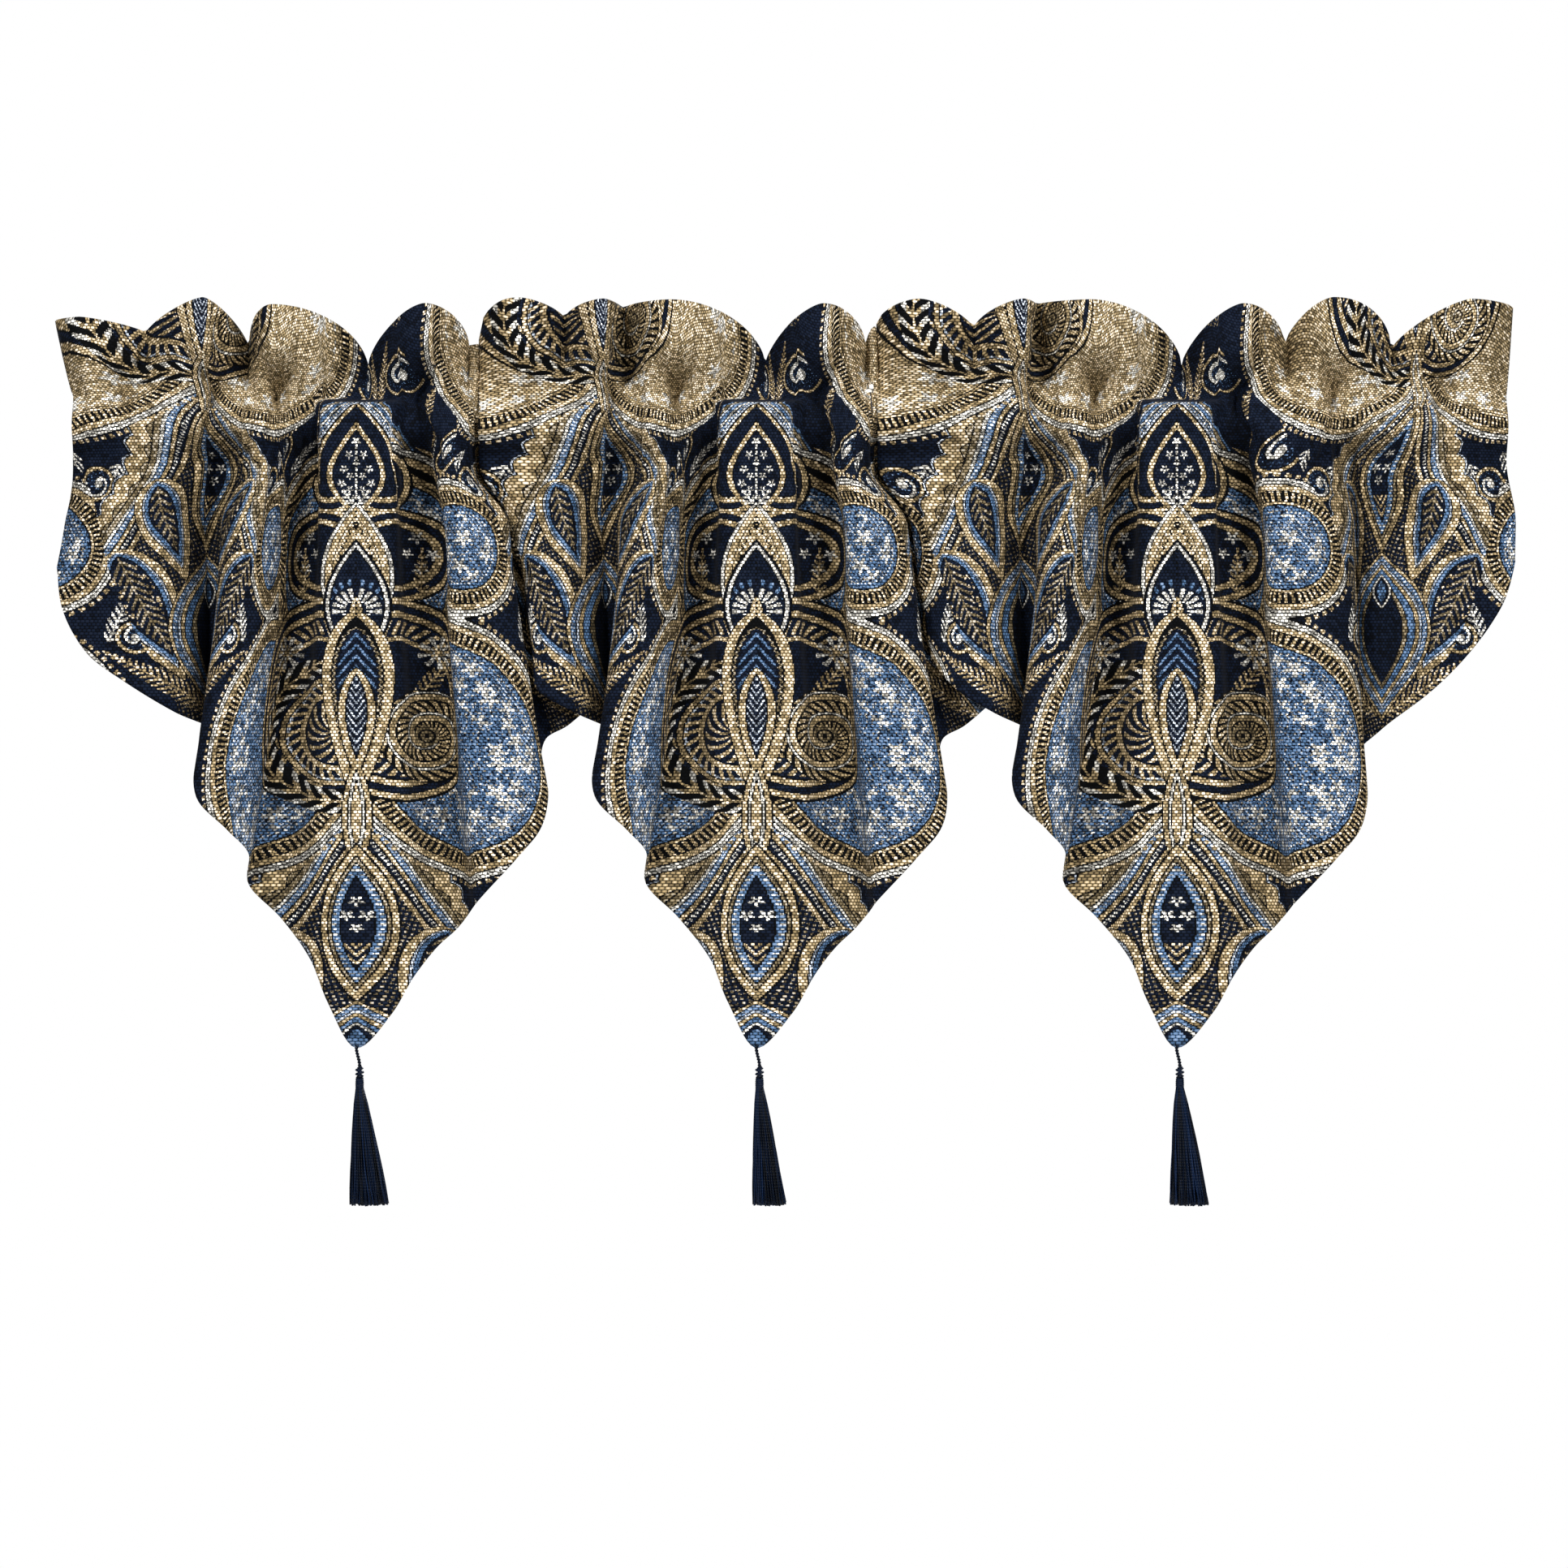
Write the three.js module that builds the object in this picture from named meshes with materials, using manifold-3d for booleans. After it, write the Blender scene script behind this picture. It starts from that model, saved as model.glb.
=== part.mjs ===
// Three ascot valances that share one rod: gathered cloths with a ruffled header, a rod pocket, two wings
// and a pointed front with a tassel. Millimetres; X runs along the rod, Y away from the viewer and Z up.
// The rod's axis is the X axis, and the origin is at the middle of the row's width.
import * as THREE from "three";
import { mergeVertices } from "three/addons/utils/BufferGeometryUtils.js";
import Module from "manifold-3d";

const wasm = await Module();
wasm.setup();

// Cloth and heading
const CLOTH = 2; // one layer
const SEWN = 3.2; // two layers sewn together
const SEAM_GAP = 0.3; // between pieces that are sewn to each other
const STITCH_RISE = 26; // the rod's axis to each of the pocket's two lines of stitching
const ROD_ROOM = 9; // clear half depth of the pocket in front of and behind the rod's axis
const POCKET_SWELL = 0.6; // exponent of the pocket's rounded section, where 1 is a parabola
const POCKET_RIDGE = 11; // how much further forward the pocket's foot stands on a ridge than in a valley
const RUFFLE_TAIL = 9; // how far forward a ruffle's narrow foot stands on the pocket
const RUFFLE_TAPER = 3.2; // exponent that narrows a ruffle towards its foot
const STITCH_FRONT = 9; // the upper line of stitching, in front of the rod's axis under a ruffle
const STITCH_BACK = 3; // and behind it under a notch
const HEADING_STEP = 10; // spacing of the heading's sections along the rod
const HEADER_HEIGHTS = [1, 0.72, 0.38, 0]; // rows of the header, as shares of its height
const POCKET_LEVELS = [0.7, 0.25, -0.25, -0.7]; // rows of the pocket, as shares of its half height
const HEADER_BACK = 10; // how far behind the rod's axis the notches between ruffles lie
const HEADER_CURL = 9; // how far the top of a ruffle rolls back again
const CURL_BEND = 4; // exponent of the curl's growth with height
const RUFFLE_SWELL = 1.2; // exponent of a ruffle's way forward from notch to crest
const FLARE_REACH = 70; // how far from a free end the header's sideways flare is felt
const FLARE_FADE = 2; // exponent of the flare's fading with that distance
const FLARE_BEND = 0.8; // exponent of the flare's growth with height

// Hanging cloth
const RELEASE = 75; // drop in which the gathers of the pocket open out into the main folds
const POCKET_FOLD = 0.45; // depth of the folds at the pocket, as a share of their depth below
const HANG_BEND = 1.3; // exponent of the way from the folds below the pocket to the hem
const FOLD_DEPTH = 26; // deepest valley of the body
const COLUMNS_PER_FOLD = 2;
const PANEL_ROWS = [0, 0.06, 0.13, 0.22, 0.34, 0.48, 0.63, 0.78, 0.9, 1];

// Tassel, from the point downwards. Each outline gives a place along its part and a share of its radius.
const CORD = { radius: 1.4, length: 15, outline: [[0, 1], [1, 1]] };
const KNOT = { radius: 3.4, length: 10, outline: [[0.35, 1], [0.7, 1]] };
const NECK = { radius: 3.2, length: 9, outline: [[0, 0.85], [0.5, 1], [1, 0.9]] };
const ROOT = { radius: 3.2, length: 6, outline: [[0.5, 1.15], [1, 1]] }; // holds the tops of the locks
const HEAD_SIDES = 8;
const SKIRT_LENGTH = 94;
const CORD_LEAN = 2.6; // sideways shift of the tassel's axis along the cord
const SKIRT_LEAN = 8; // further shift along the skirt
const LOCK_SIDES = 4;
const LOCK_FILL = 0.72; // width of a lock as a share of its place in the ring
const LOCK_ROOT = 0.8; // radius of the ring of roots, as a share of the neck's
const LOCK_STRAY = 0.35; // how far a lock strays from its even place in the ring, in places
const STRAY_STEP = 2.3; // phase of the straying from one lock to the next, in radians
const LOCK_UNEVEN = 2.5; // half the difference in length between the longest and shortest locks
const UNEVEN_STEP = 4.1; // phase of the length from one lock to the next, in radians
const RINGS = [
  { locks: 16, reach: 1 },
  { locks: 9, reach: 0.52 },
];

// Where the next valance's left edge meets a valance on its left, from that valance's axis
const NEXT_EDGE = { pocketX: 98.8, bodyX: 122, hemX: 143 };

// Folds across a panel, from left to right. pocketX is where the fold leaves the pocket, body is its place
// about 75 mm lower and hem its end. X is from the valance's axis, negative Y is towards the viewer.
const COLUMNS = ["fold", "pocketX", "bodyX", "bodyY", "hemX", "hemY", "hemZ"];

const LEFT_WING_FREE = [
  ["outer edge", -231, -231, 2, -245, -2, -114],
  ["outer corner", -223, -228, -6, -240, -8, -149],
  ["lower corner", -208, -212, -14, -220, -14, -184],
  ["wing front", -184, -188, -19, -188, -17, -208],
  ["wing inner side", -150, -158, -11, -149, -6, -232],
];

const LEFT_FRONT = [
  ["left valley", -116, -130, 26, -118, 23, -247],
  ["left valley turn", -100, -115, 18, -111, 11, -258],
  ["left lobe edge", -88, -104, -9, -130, -5, -272],
  ["left lobe front", -77, -90, -22, -130, -20, -302],
  ["left lobe inner side", -63, -70, -15, -105, -20, -328],
  ["left recess side", -52, -56, 4, -89, -7, -347],
  ["left recess", -42, -44, 19, -90, 10, -372],
  ["pleat foot left", -31, -31, 13, -63, 6, -400],
  ["pleat edge left", -27, -27, -15, -37, -11, -434],
  ["pleat face left", -14, -14, -24, -22, -20, -470],
  ["point", 0, 0, -26, 0, -22, -505],
  ["pleat face right", 14, 14, -24, 28, -20, -478],
  ["pleat edge right", 27, 28, -15, 47, -11, -446],
  ["pleat foot right", 31, 33, 11, 65, 4, -423],
  ["right recess", 46, 50, 21, 80, 13, -409],
  ["step foot", 60, 66, 13, 90, 7, -397],
  ["step edge", 64, 69, -13, 99, -8, -385],
];

const RIGHT_WING_TUCKED = [
  ["right lobe front", 74, 92, -24, 131, -20, -350],
  ["right lobe side", 84, 109, -18, 150, -18, -326],
  ["right lobe edge", 90, 118, -6, 155, -8, -298],
  ["right lobe turn", 92, 112, 10, 149, 8, -276],
  ["wing start", 93.5, 117, 21, 152, 19, -254],
  ["wing behind", 95, 148, 24, 170, 20, -243],
  ["hidden edge", 97.5, 174, 22, 190, 18, -226],
];

const RIGHT_WING_FREE = [
  ["right lobe front", 96, 99, -23, 131, -21, -350],
  ["right lobe side", 116, 124, -14, 150, -18, -326],
  ["right lobe edge", 130, 140, 4, 156, -7, -298],
  ["right valley", 145, 150, 25, 148, 14, -268],
  ["wing inner side", 163, 168, 8, 168, 12, -247],
  ["wing front", 205, 211, -15, 209, -10, -214],
  ["lower corner", 236, 242, -12, 244, -9, -178],
  ["outer corner", 257, 264, -5, 268, -4, -141],
  ["outer edge", 270, 278, 2, 277, 0, -110],
];

// Ruffles of a header, from left to right. fromX and notchZ are the notch at its left, crestX and crestZ
// its top, and bulge how far it stands forward. rise and fall are the exponents of its outline on the left
// and right of the crest, where 1 is straight and 2 an ellipse. The last row's notch ends the header.
const RUFFLE_COLUMNS = ["fromX", "notchZ", "rise", "crestX", "crestZ", "fall", "bulge"];

const LEFT_RUFFLES = [
  [-231, 87, 1, -216, 88, 1.2, 15],
  [-174, 77, 1.3, -125, 103, 1.4, 29],
  [-90, 65, 2.2, -68, 97, 1.9, 33],
  [7, 48, 1.5, 55, 98, 2, 31],
  [89, 66, 1, 96, 67, 1, 4],
  [98.2, 67, 1, 98.2, 67, 1, 0],
];

const MIDDLE_RUFFLES = [
  [-226, 72, 2.4, -193, 103, 1.5, 26],
  [-157, 89, 1.6, -124, 102, 1.5, 28],
  [-109, 97, 1.5, -70, 101, 1.9, 32],
  [7, 49, 1.5, 54, 98, 2, 30],
  [89, 66, 1.5, 97, 82, 1, 9],
  [98.2, 80, 1, 98.2, 80, 1, 0],
];

const RIGHT_RUFFLES = [
  [-242.6, 85, 1.8, -208, 102, 1.4, 26],
  [-164, 81, 1.5, -124, 102, 1.5, 27],
  [-112, 100, 1.2, -70, 101, 1.8, 33],
  [6, 49, 1.5, 54, 98, 2, 30],
  [90, 65, 1.6, 128, 103, 2.1, 30],
  [177, 63, 1.3, 238, 102, 1.5, 24],
  [270, 98, 1, 270, 98, 1, 0],
];

const VALANCES = [
  { side: "left", axisX: -347.3, leftFlare: -17, rightFlare: 0, tasselWidth: 33, ruffles: LEFT_RUFFLES },
  { side: "middle", axisX: -22.5, leftFlare: 0, rightFlare: 0, tasselWidth: 27, ruffles: MIDDLE_RUFFLES },
  { side: "right", axisX: 318.9, leftFlare: 0, rightFlare: 7, tasselWidth: 33, ruffles: RIGHT_RUFFLES },
];

// Colours judged by eye: the cloth's mean of navy, gold and cream, and the tassels' deep navy
const CLOTH_LOOK = { color: 0x55586a, roughness: 0.85, metalness: 0 };
const YARN_LOOK = { color: 0x14233f, roughness: 0.6, metalness: 0 };

// Step of the slopes that give a surface's normal, and how close points are that count as one
const SLOPE_STEP = 1e-3;
const SAME_POINT = 1e-4;

const { lerp, smoothstep, clamp } = THREE.MathUtils;

const named = (columns, rows) =>
  rows.map((row) => Object.fromEntries(columns.map((column, i) => [column, row[i]])));

// The left wing of a valance whose edge lies behind the lobe of the valance at its left, a pitch away.
function leftWingTucked(pitch) {
  return [
    ["outer edge", NEXT_EDGE.pocketX - pitch, NEXT_EDGE.bodyX - pitch, 4, NEXT_EDGE.hemX - pitch, 4, -190],
    ["wing front", -188, -184, -9, -179, -6, -213],
    ["wing inner side", -150, -157, -8, -149, -5, -232],
  ];
}

function foldsOf(index) {
  const pitch = index > 0 ? VALANCES[index].axisX - VALANCES[index - 1].axisX : 0;
  const leftWing = index > 0 ? leftWingTucked(pitch) : LEFT_WING_FREE;
  const rightWing = index < VALANCES.length - 1 ? RIGHT_WING_TUCKED : RIGHT_WING_FREE;
  return named(COLUMNS, [...leftWing, ...LEFT_FRONT, ...rightWing]);
}

// A closed solid lofted through sections. A section is a list of closed loops, its outline first and then
// any hole's loop, which runs the other way round. capFaces close the first and last sections.
function loftedSolid(sections, capFaces) {
  const sizes = sections[0].map((loop) => loop.length);
  const perSection = sizes.reduce((sum, size) => sum + size, 0);
  const positions = sections.flat(2).flatMap((point) => [point.x, point.y, point.z]);
  const faces = [];
  for (let row = 0; row + 1 < sections.length; row++) {
    let first = row * perSection;
    for (const size of sizes) {
      for (let i = 0; i < size; i++) {
        const [a, b] = [first + i, first + ((i + 1) % size)];
        faces.push(a, b, b + perSection, a, b + perSection, a + perSection);
      }
      first += size;
    }
  }
  const last = (sections.length - 1) * perSection;
  for (const [a, b, c] of capFaces) {
    faces.push(a, c, b, last + a, last + b, last + c);
  }
  const geometry = new THREE.BufferGeometry();
  geometry.setAttribute("position", new THREE.Float32BufferAttribute(positions, 3));
  geometry.setIndex(faces);
  return geometry;
}

// The hanging cloth's middle surface: across runs from 0 at the left edge to 1 at the right, down from 0 at
// the pocket to 1 at the hem.
function panelSurface(folds) {
  const curve = (points) => new THREE.CatmullRomCurve3(points, false, "centripetal");
  const top = -STITCH_RISE - SEWN / 2 - SEAM_GAP;
  const pocket = curve(folds.map((f) => new THREE.Vector3(f.pocketX, f.bodyY * POCKET_FOLD, top)));
  const body = curve(folds.map((f) => new THREE.Vector3(f.bodyX, f.bodyY, top)));
  const hem = curve(folds.map((f) => new THREE.Vector3(f.hemX, f.hemY, f.hemZ)));
  return (across, down) => {
    const end = hem.getPoint(across);
    const length = top - end.z;
    const hang = body.getPoint(across).lerp(end, down ** HANG_BEND);
    const point = pocket.getPoint(across).lerp(hang, smoothstep(down * length, 0, RELEASE));
    point.z = top - down * length;
    return point;
  };
}

// A sheet of the cloth's thickness about a surface, whose rows run down each column's front and up its
// back. The thickness is laid off level, so that the top and hem keep their heights.
function sheetSolid(surface, columns, rows) {
  const sections = columns.map((across) => {
    const [left, right] = [Math.max(across - SLOPE_STEP, 0), Math.min(across + SLOPE_STEP, 1)];
    const sides = rows.map((down) => {
      const [above, below] = [Math.max(down - SLOPE_STEP, 0), Math.min(down + SLOPE_STEP, 1)];
      const point = surface(across, down);
      const sideways = surface(right, down).sub(surface(left, down));
      const downwards = surface(across, below).sub(surface(across, above));
      const normal = downwards.cross(sideways).setZ(0).normalize();
      const offset = normal.multiplyScalar(CLOTH / 2);
      return { front: point.clone().add(offset), back: point.clone().sub(offset) };
    });
    return [[...sides.map((side) => side.front), ...sides.reverse().map((side) => side.back)]];
  });
  const around = 2 * rows.length;
  const capFaces = [];
  for (let i = 0; i + 1 < rows.length; i++) {
    const [frontUp, frontDown, backDown, backUp] = [i, i + 1, around - 2 - i, around - 1 - i];
    capFaces.push([frontUp, frontDown, backDown], [frontUp, backDown, backUp]);
  }
  return loftedSolid(sections, capFaces);
}

function panelGeometry(folds) {
  const steps = (folds.length - 1) * COLUMNS_PER_FOLD;
  const columns = Array.from({ length: steps + 1 }, (_, i) => i / steps);
  return sheetSolid(panelSurface(folds), columns, PANEL_ROWS);
}

// The header's top edge at x, how far forward it is from 0 in a notch to 1 on a crest, and its bulge.
function ruffleAt(ruffles, x) {
  const index = clamp(ruffles.findLastIndex((r) => r.fromX <= x), 0, ruffles.length - 2);
  const [ruffle, next] = [ruffles[index], ruffles[index + 1]];
  const rising = x < ruffle.crestX;
  const footX = rising ? ruffle.fromX : next.fromX;
  const footZ = rising ? ruffle.notchZ : next.notchZ;
  const share = clamp((x - footX) / (ruffle.crestX - footX), 0, 1);
  const bend = rising ? ruffle.rise : ruffle.fall;
  const round = (1 - (1 - share) ** bend) ** (1 / bend);
  return {
    topZ: lerp(footZ, ruffle.crestZ, round),
    forward: Math.sin((share * Math.PI) / 2) ** RUFFLE_SWELL,
    bulge: ruffle.bulge,
  };
}

// The depth of the body's folds where they leave the pocket at x.
function foldDepthAt(folds, x) {
  const index = clamp(folds.findLastIndex((f) => f.pocketX <= x), 0, folds.length - 2);
  const [a, b] = [folds[index], folds[index + 1]];
  const share = smoothstep(x, a.pocketX, b.pocketX);
  return lerp(a.bodyY, b.bodyY, share);
}

// One section of the heading: its outline round header and pocket, and the loop of the rod's room.
function headingSection(x, folds, ruffles, valance) {
  const { topZ, forward, bulge } = ruffleAt(ruffles, x);
  const depth = foldDepthAt(folds, x);
  const ridge = (FOLD_DEPTH - depth) / (2 * FOLD_DEPTH);
  const tail = forward ** RUFFLE_TAPER;
  const upperY = lerp(STITCH_BACK, -STITCH_FRONT, tail);
  const lowerY = depth * POCKET_FOLD;
  const [firstX, lastX] = [ruffles[0].fromX, ruffles.at(-1).fromX];
  const flare =
    valance.leftFlare * clamp(1 - (x - firstX) / FLARE_REACH, 0, 1) ** FLARE_FADE +
    valance.rightFlare * clamp(1 - (lastX - x) / FLARE_REACH, 0, 1) ** FLARE_FADE;

  const header = (height, layer) => {
    const standing = Math.sin((height * Math.PI) / 2);
    const narrowed = forward ** lerp(RUFFLE_TAPER, 1, height);
    const reach = lerp(HEADER_BACK, -bulge + HEADER_CURL * height ** CURL_BEND, narrowed);
    return new THREE.Vector3(
      x + flare * height ** FLARE_BEND,
      lerp(upperY, reach, standing) + (layer * SEWN) / 2,
      lerp(STITCH_RISE, topZ, height),
    );
  };
  const pocket = (level, way, wall) => {
    const swell = (1 - level * level) ** POCKET_SWELL;
    const fallen = (1 - level) / 2;
    const stitchY = lerp(upperY, lowerY, fallen);
    const ruffle = RUFFLE_TAIL * tail * (1 - fallen) + POCKET_RIDGE * ridge * fallen;
    const room = ROD_ROOM + (way < 0 ? ruffle : 0);
    return new THREE.Vector3(x, lerp(stitchY, way * room, swell) + way * wall, level * STITCH_RISE);
  };

  const bottom = -STITCH_RISE - SEWN / 2;
  const outline = [
    ...HEADER_HEIGHTS.map((height) => header(height, -1)),
    ...POCKET_LEVELS.map((level) => pocket(level, -1, CLOTH)),
    new THREE.Vector3(x, lowerY - SEWN / 2, bottom),
    new THREE.Vector3(x, lowerY + SEWN / 2, bottom),
    ...POCKET_LEVELS.toReversed().map((level) => pocket(level, 1, CLOTH)),
    ...HEADER_HEIGHTS.toReversed().map((height) => header(height, 1)),
  ];
  const room = [
    ...POCKET_LEVELS.map((level) => pocket(level, 1, 0)),
    ...POCKET_LEVELS.toReversed().map((level) => pocket(level, -1, 0)),
  ];
  return [outline, room];
}

// A solid from a closed mesh, and a mesh's geometry from a solid, for joins and cuts.
function solidOf(geometry) {
  const bare = geometry.index ? geometry.toNonIndexed() : geometry.clone();
  bare.deleteAttribute("normal");
  bare.deleteAttribute("uv");
  const merged = mergeVertices(bare, SAME_POINT);
  return new wasm.Manifold(
    new wasm.Mesh({
      numProp: 3,
      vertProperties: merged.attributes.position.array,
      triVerts: new Uint32Array(merged.index.array),
    }),
  );
}

function geometryOf(solid) {
  const mesh = solid.getMesh();
  const geometry = new THREE.BufferGeometry();
  geometry.setAttribute("position", new THREE.BufferAttribute(mesh.vertProperties, 3));
  geometry.setIndex(new THREE.BufferAttribute(mesh.triVerts, 1));
  return geometry;
}

function headingGeometry(folds, valance) {
  const ruffles = named(RUFFLE_COLUMNS, valance.ruffles);
  const [firstX, lastX] = [ruffles[0].fromX, ruffles.at(-1).fromX];
  const steps = Math.round((lastX - firstX) / HEADING_STEP);
  const sections = Array.from({ length: steps + 1 }, (_, i) =>
    headingSection(lerp(firstX, lastX, i / steps), folds, ruffles, valance),
  );
  const flat = (loop) => loop.map((point) => new THREE.Vector2(point.y, point.z));
  const [outline, room] = sections[0].map(flat);
  return loftedSolid(sections, THREE.ShapeUtils.triangulateShape(outline, [room]));
}

// The tassel's head with its cord, turned about the tassel's axis from the point downwards.
function tasselHead() {
  const profile = [new THREE.Vector2(0, -SEAM_GAP)];
  let top = 0;
  for (const part of [CORD, KNOT, NECK, ROOT]) {
    for (const [along, share] of part.outline) {
      const z = Math.min(top - along * part.length, -SEAM_GAP);
      profile.push(new THREE.Vector2(share * part.radius, z));
    }
    top -= part.length;
  }
  profile.push(new THREE.Vector2(0, top));
  return new THREE.LatheGeometry(profile.reverse(), HEAD_SIDES).rotateX(Math.PI / 2);
}

// One lock of the skirt: a taper from the head to its place in a ring at the skirt's end.
function tasselLock(ring, index, bottomRadius, topZ, endZ) {
  const stray = LOCK_STRAY * Math.sin(index * STRAY_STEP);
  const turn = ((index + stray) / ring.locks) * 2 * Math.PI;
  const place = (radius) => (LOCK_FILL * Math.PI * radius) / ring.locks;
  const [topR, endR] = [LOCK_ROOT * NECK.radius * ring.reach, bottomRadius * ring.reach];
  const ownEndZ = endZ + LOCK_UNEVEN * (1 + Math.sin(index * UNEVEN_STEP + ring.locks));
  const lock = new THREE.CylinderGeometry(place(topR), place(endR), topZ - ownEndZ, LOCK_SIDES, 1);
  lock.rotateX(Math.PI / 2).translate(0, 0, (topZ + ownEndZ) / 2);
  lock.rotateZ(turn);
  const at = lock.attributes.position;
  for (let i = 0; i < at.count; i++) {
    const radius = lerp(topR, endR, (topZ - at.getZ(i)) / (topZ - endZ));
    at.setXY(i, at.getX(i) + radius * Math.cos(turn), at.getY(i) + radius * Math.sin(turn));
  }
  return lock;
}

function tasselGeometry(width) {
  const headEnd = -CORD.length - KNOT.length - NECK.length;
  const endZ = headEnd - SKIRT_LENGTH;
  const fullest = RINGS[0];
  const bottomRadius = width / 2 / (1 + (LOCK_FILL * Math.PI) / fullest.locks);
  let tassel = solidOf(tasselHead());
  for (const ring of RINGS) {
    for (let i = 0; i < ring.locks; i++) {
      tassel = tassel.add(solidOf(tasselLock(ring, i, bottomRadius, headEnd, endZ)));
    }
  }
  const geometry = geometryOf(tassel);
  const at = geometry.attributes.position;
  for (let i = 0; i < at.count; i++) {
    const z = at.getZ(i);
    const cordLean = CORD_LEAN * smoothstep(-z, 0, CORD.length);
    const skirtLean = SKIRT_LEAN * clamp((headEnd - z) / SKIRT_LENGTH, 0, 1);
    at.setX(i, at.getX(i) + cordLean + skirtLean);
  }
  return geometry;
}

function valanceGroup(valance, index) {
  const folds = foldsOf(index);
  const group = new THREE.Group();
  group.position.x = valance.axisX;
  const add = (name, geometry, look) => {
    const mesh = new THREE.Mesh(geometry, new THREE.MeshStandardMaterial(look));
    mesh.name = `${name}_${valance.side}`;
    group.add(mesh);
    return mesh;
  };
  add("heading", headingGeometry(folds, valance), CLOTH_LOOK);
  add("panel", panelGeometry(folds), CLOTH_LOOK);
  const point = folds.find((f) => f.fold === "point");
  const tassel = add("tassel", tasselGeometry(valance.tasselWidth), YARN_LOOK);
  tassel.position.set(point.hemX, point.hemY, point.hemZ);
  return group;
}

const row = new THREE.Group();
row.name = "ascot_valances";
VALANCES.forEach((valance, index) => row.add(valanceGroup(valance, index)));

export default row;
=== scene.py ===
"""Looks of three ascot valances that share one rod: jacquard cloths and yarn tassels, in metres.

Sizes in the tables are in millimetres, from each valance's axis. X runs along the rod, Y away from the
viewer and Z up, with the rod's axis at zero.
"""
import logging
import math
from dataclasses import dataclass, field
from enum import Enum
from functools import partialmethod

import bmesh
import bpy
import numpy as np
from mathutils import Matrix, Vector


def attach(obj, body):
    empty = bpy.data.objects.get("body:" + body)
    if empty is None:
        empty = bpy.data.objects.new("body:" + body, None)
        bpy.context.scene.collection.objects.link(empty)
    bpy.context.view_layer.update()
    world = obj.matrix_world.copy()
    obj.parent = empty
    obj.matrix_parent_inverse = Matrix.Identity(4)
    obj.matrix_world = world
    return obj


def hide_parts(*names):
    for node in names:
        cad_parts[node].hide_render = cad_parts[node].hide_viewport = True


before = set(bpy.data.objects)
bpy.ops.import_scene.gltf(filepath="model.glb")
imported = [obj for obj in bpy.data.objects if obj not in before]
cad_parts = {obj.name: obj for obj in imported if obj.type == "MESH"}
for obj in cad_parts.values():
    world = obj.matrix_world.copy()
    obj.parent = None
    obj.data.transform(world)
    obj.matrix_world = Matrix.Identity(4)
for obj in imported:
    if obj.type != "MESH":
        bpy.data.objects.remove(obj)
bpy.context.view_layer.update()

LOG = logging.getLogger("ascot_valances")
MM = 0.001
METRE = 1000.0
Array = np.ndarray
Mesh = bpy.types.Mesh
Node = bpy.types.Node
Object = bpy.types.Object
Socket = bpy.types.NodeSocket
Tree = bpy.types.NodeTree


# Sizes that the whole row shares


@dataclass(frozen=True)
class HeadingSizes:
    """Sizes of a gathered heading: its header above, and the rod's pocket below."""

    stitch_rise: float = 26.0
    sewn: float = 3.2
    layer_gap: float = 2.0
    rod_room: float = 9.0
    pocket_swell: float = 1.0
    pocket_ridge: float = 17.0
    ruffle_taper: float = 1.5
    ruffle_swell: float = 0.75
    stitch_dip: float = 5.5
    pinch_back: float = 2.0
    header_waist: float = 0.55
    waist_back: float = 16.0
    header_back: float = 18.0
    header_curl: float = 8.0
    flare_reach: float = 70.0
    flare_fade: float = 2.0
    flare_bend: float = 0.8


@dataclass(frozen=True)
class HangSizes:
    """Sizes of the cloth that hangs below the pocket."""

    release: float = 52.0
    ridge_fold: float = 0.95
    valley_fold: float = 0.65
    hang_bend: float = 1.3
    deepen: float = 1.3
    fold_depth: float = 26.0
    seam_gap: float = 0.3
    hem_turn: float = 14.0
    hem_gap: float = 1.7


@dataclass(frozen=True)
class Fold:
    """One fold across a panel: where it leaves the pocket, its place below, its end and its weave place."""

    pocket_x: float
    body_x: float
    body_y: float
    hem_x: float
    hem_y: float
    hem_z: float
    weave: float


@dataclass(frozen=True)
class Ruffle:
    """One ruffle of a header: its left notch, its crest, the bends of its outline and its weave places."""

    from_x: float
    notch_z: float
    rise: float
    crest_x: float
    crest_z: float
    fall: float
    bulge: float
    from_weave: float
    crest_weave: float


@dataclass(frozen=True)
class Crease:
    """A soft trough (negative depth) or ridge along a line on the front of a cloth."""

    from_x: float
    from_z: float
    to_x: float
    to_z: float
    width: float
    depth: float


@dataclass(frozen=True)
class Pinch:
    """A place where the stitching gathers a puff to its foot, and the drags that fan out from it."""

    x: float
    z: float
    half_width: float
    pull: float
    drags: tuple[tuple[float, float, float, float], ...]
    hold: float = 0.6

    def creases(self) -> tuple[Crease, ...]:
        """The drags as creases: each is given by its run across and up, its width and its depth."""
        return tuple(
            Crease(self.x, self.z, self.x + across, self.z + up, width, depth)
            for across, up, width, depth in self.drags
        )

    def grip(self, x: Array) -> Array:
        """How firmly the stitching holds the cloth back at places across it, 1 at the pinch's foot."""
        return np.exp(-(((x - self.x) / (self.hold * self.half_width)) ** 2))


LEFT_WING_FREE = (
    Fold(-231, -231, 2, -245, -2, -114, -394),  # outer edge
    Fold(-223, -228, -6, -240, -8, -149, -385),  # outer corner
    Fold(-208, -212, -14, -220, -14, -184, -368),  # lower corner
    Fold(-184, -188, -19, -188, -17, -208, -343),  # wing front
    Fold(-150, -158, -11, -149, -6, -232, -312),  # wing inner side
)

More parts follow.
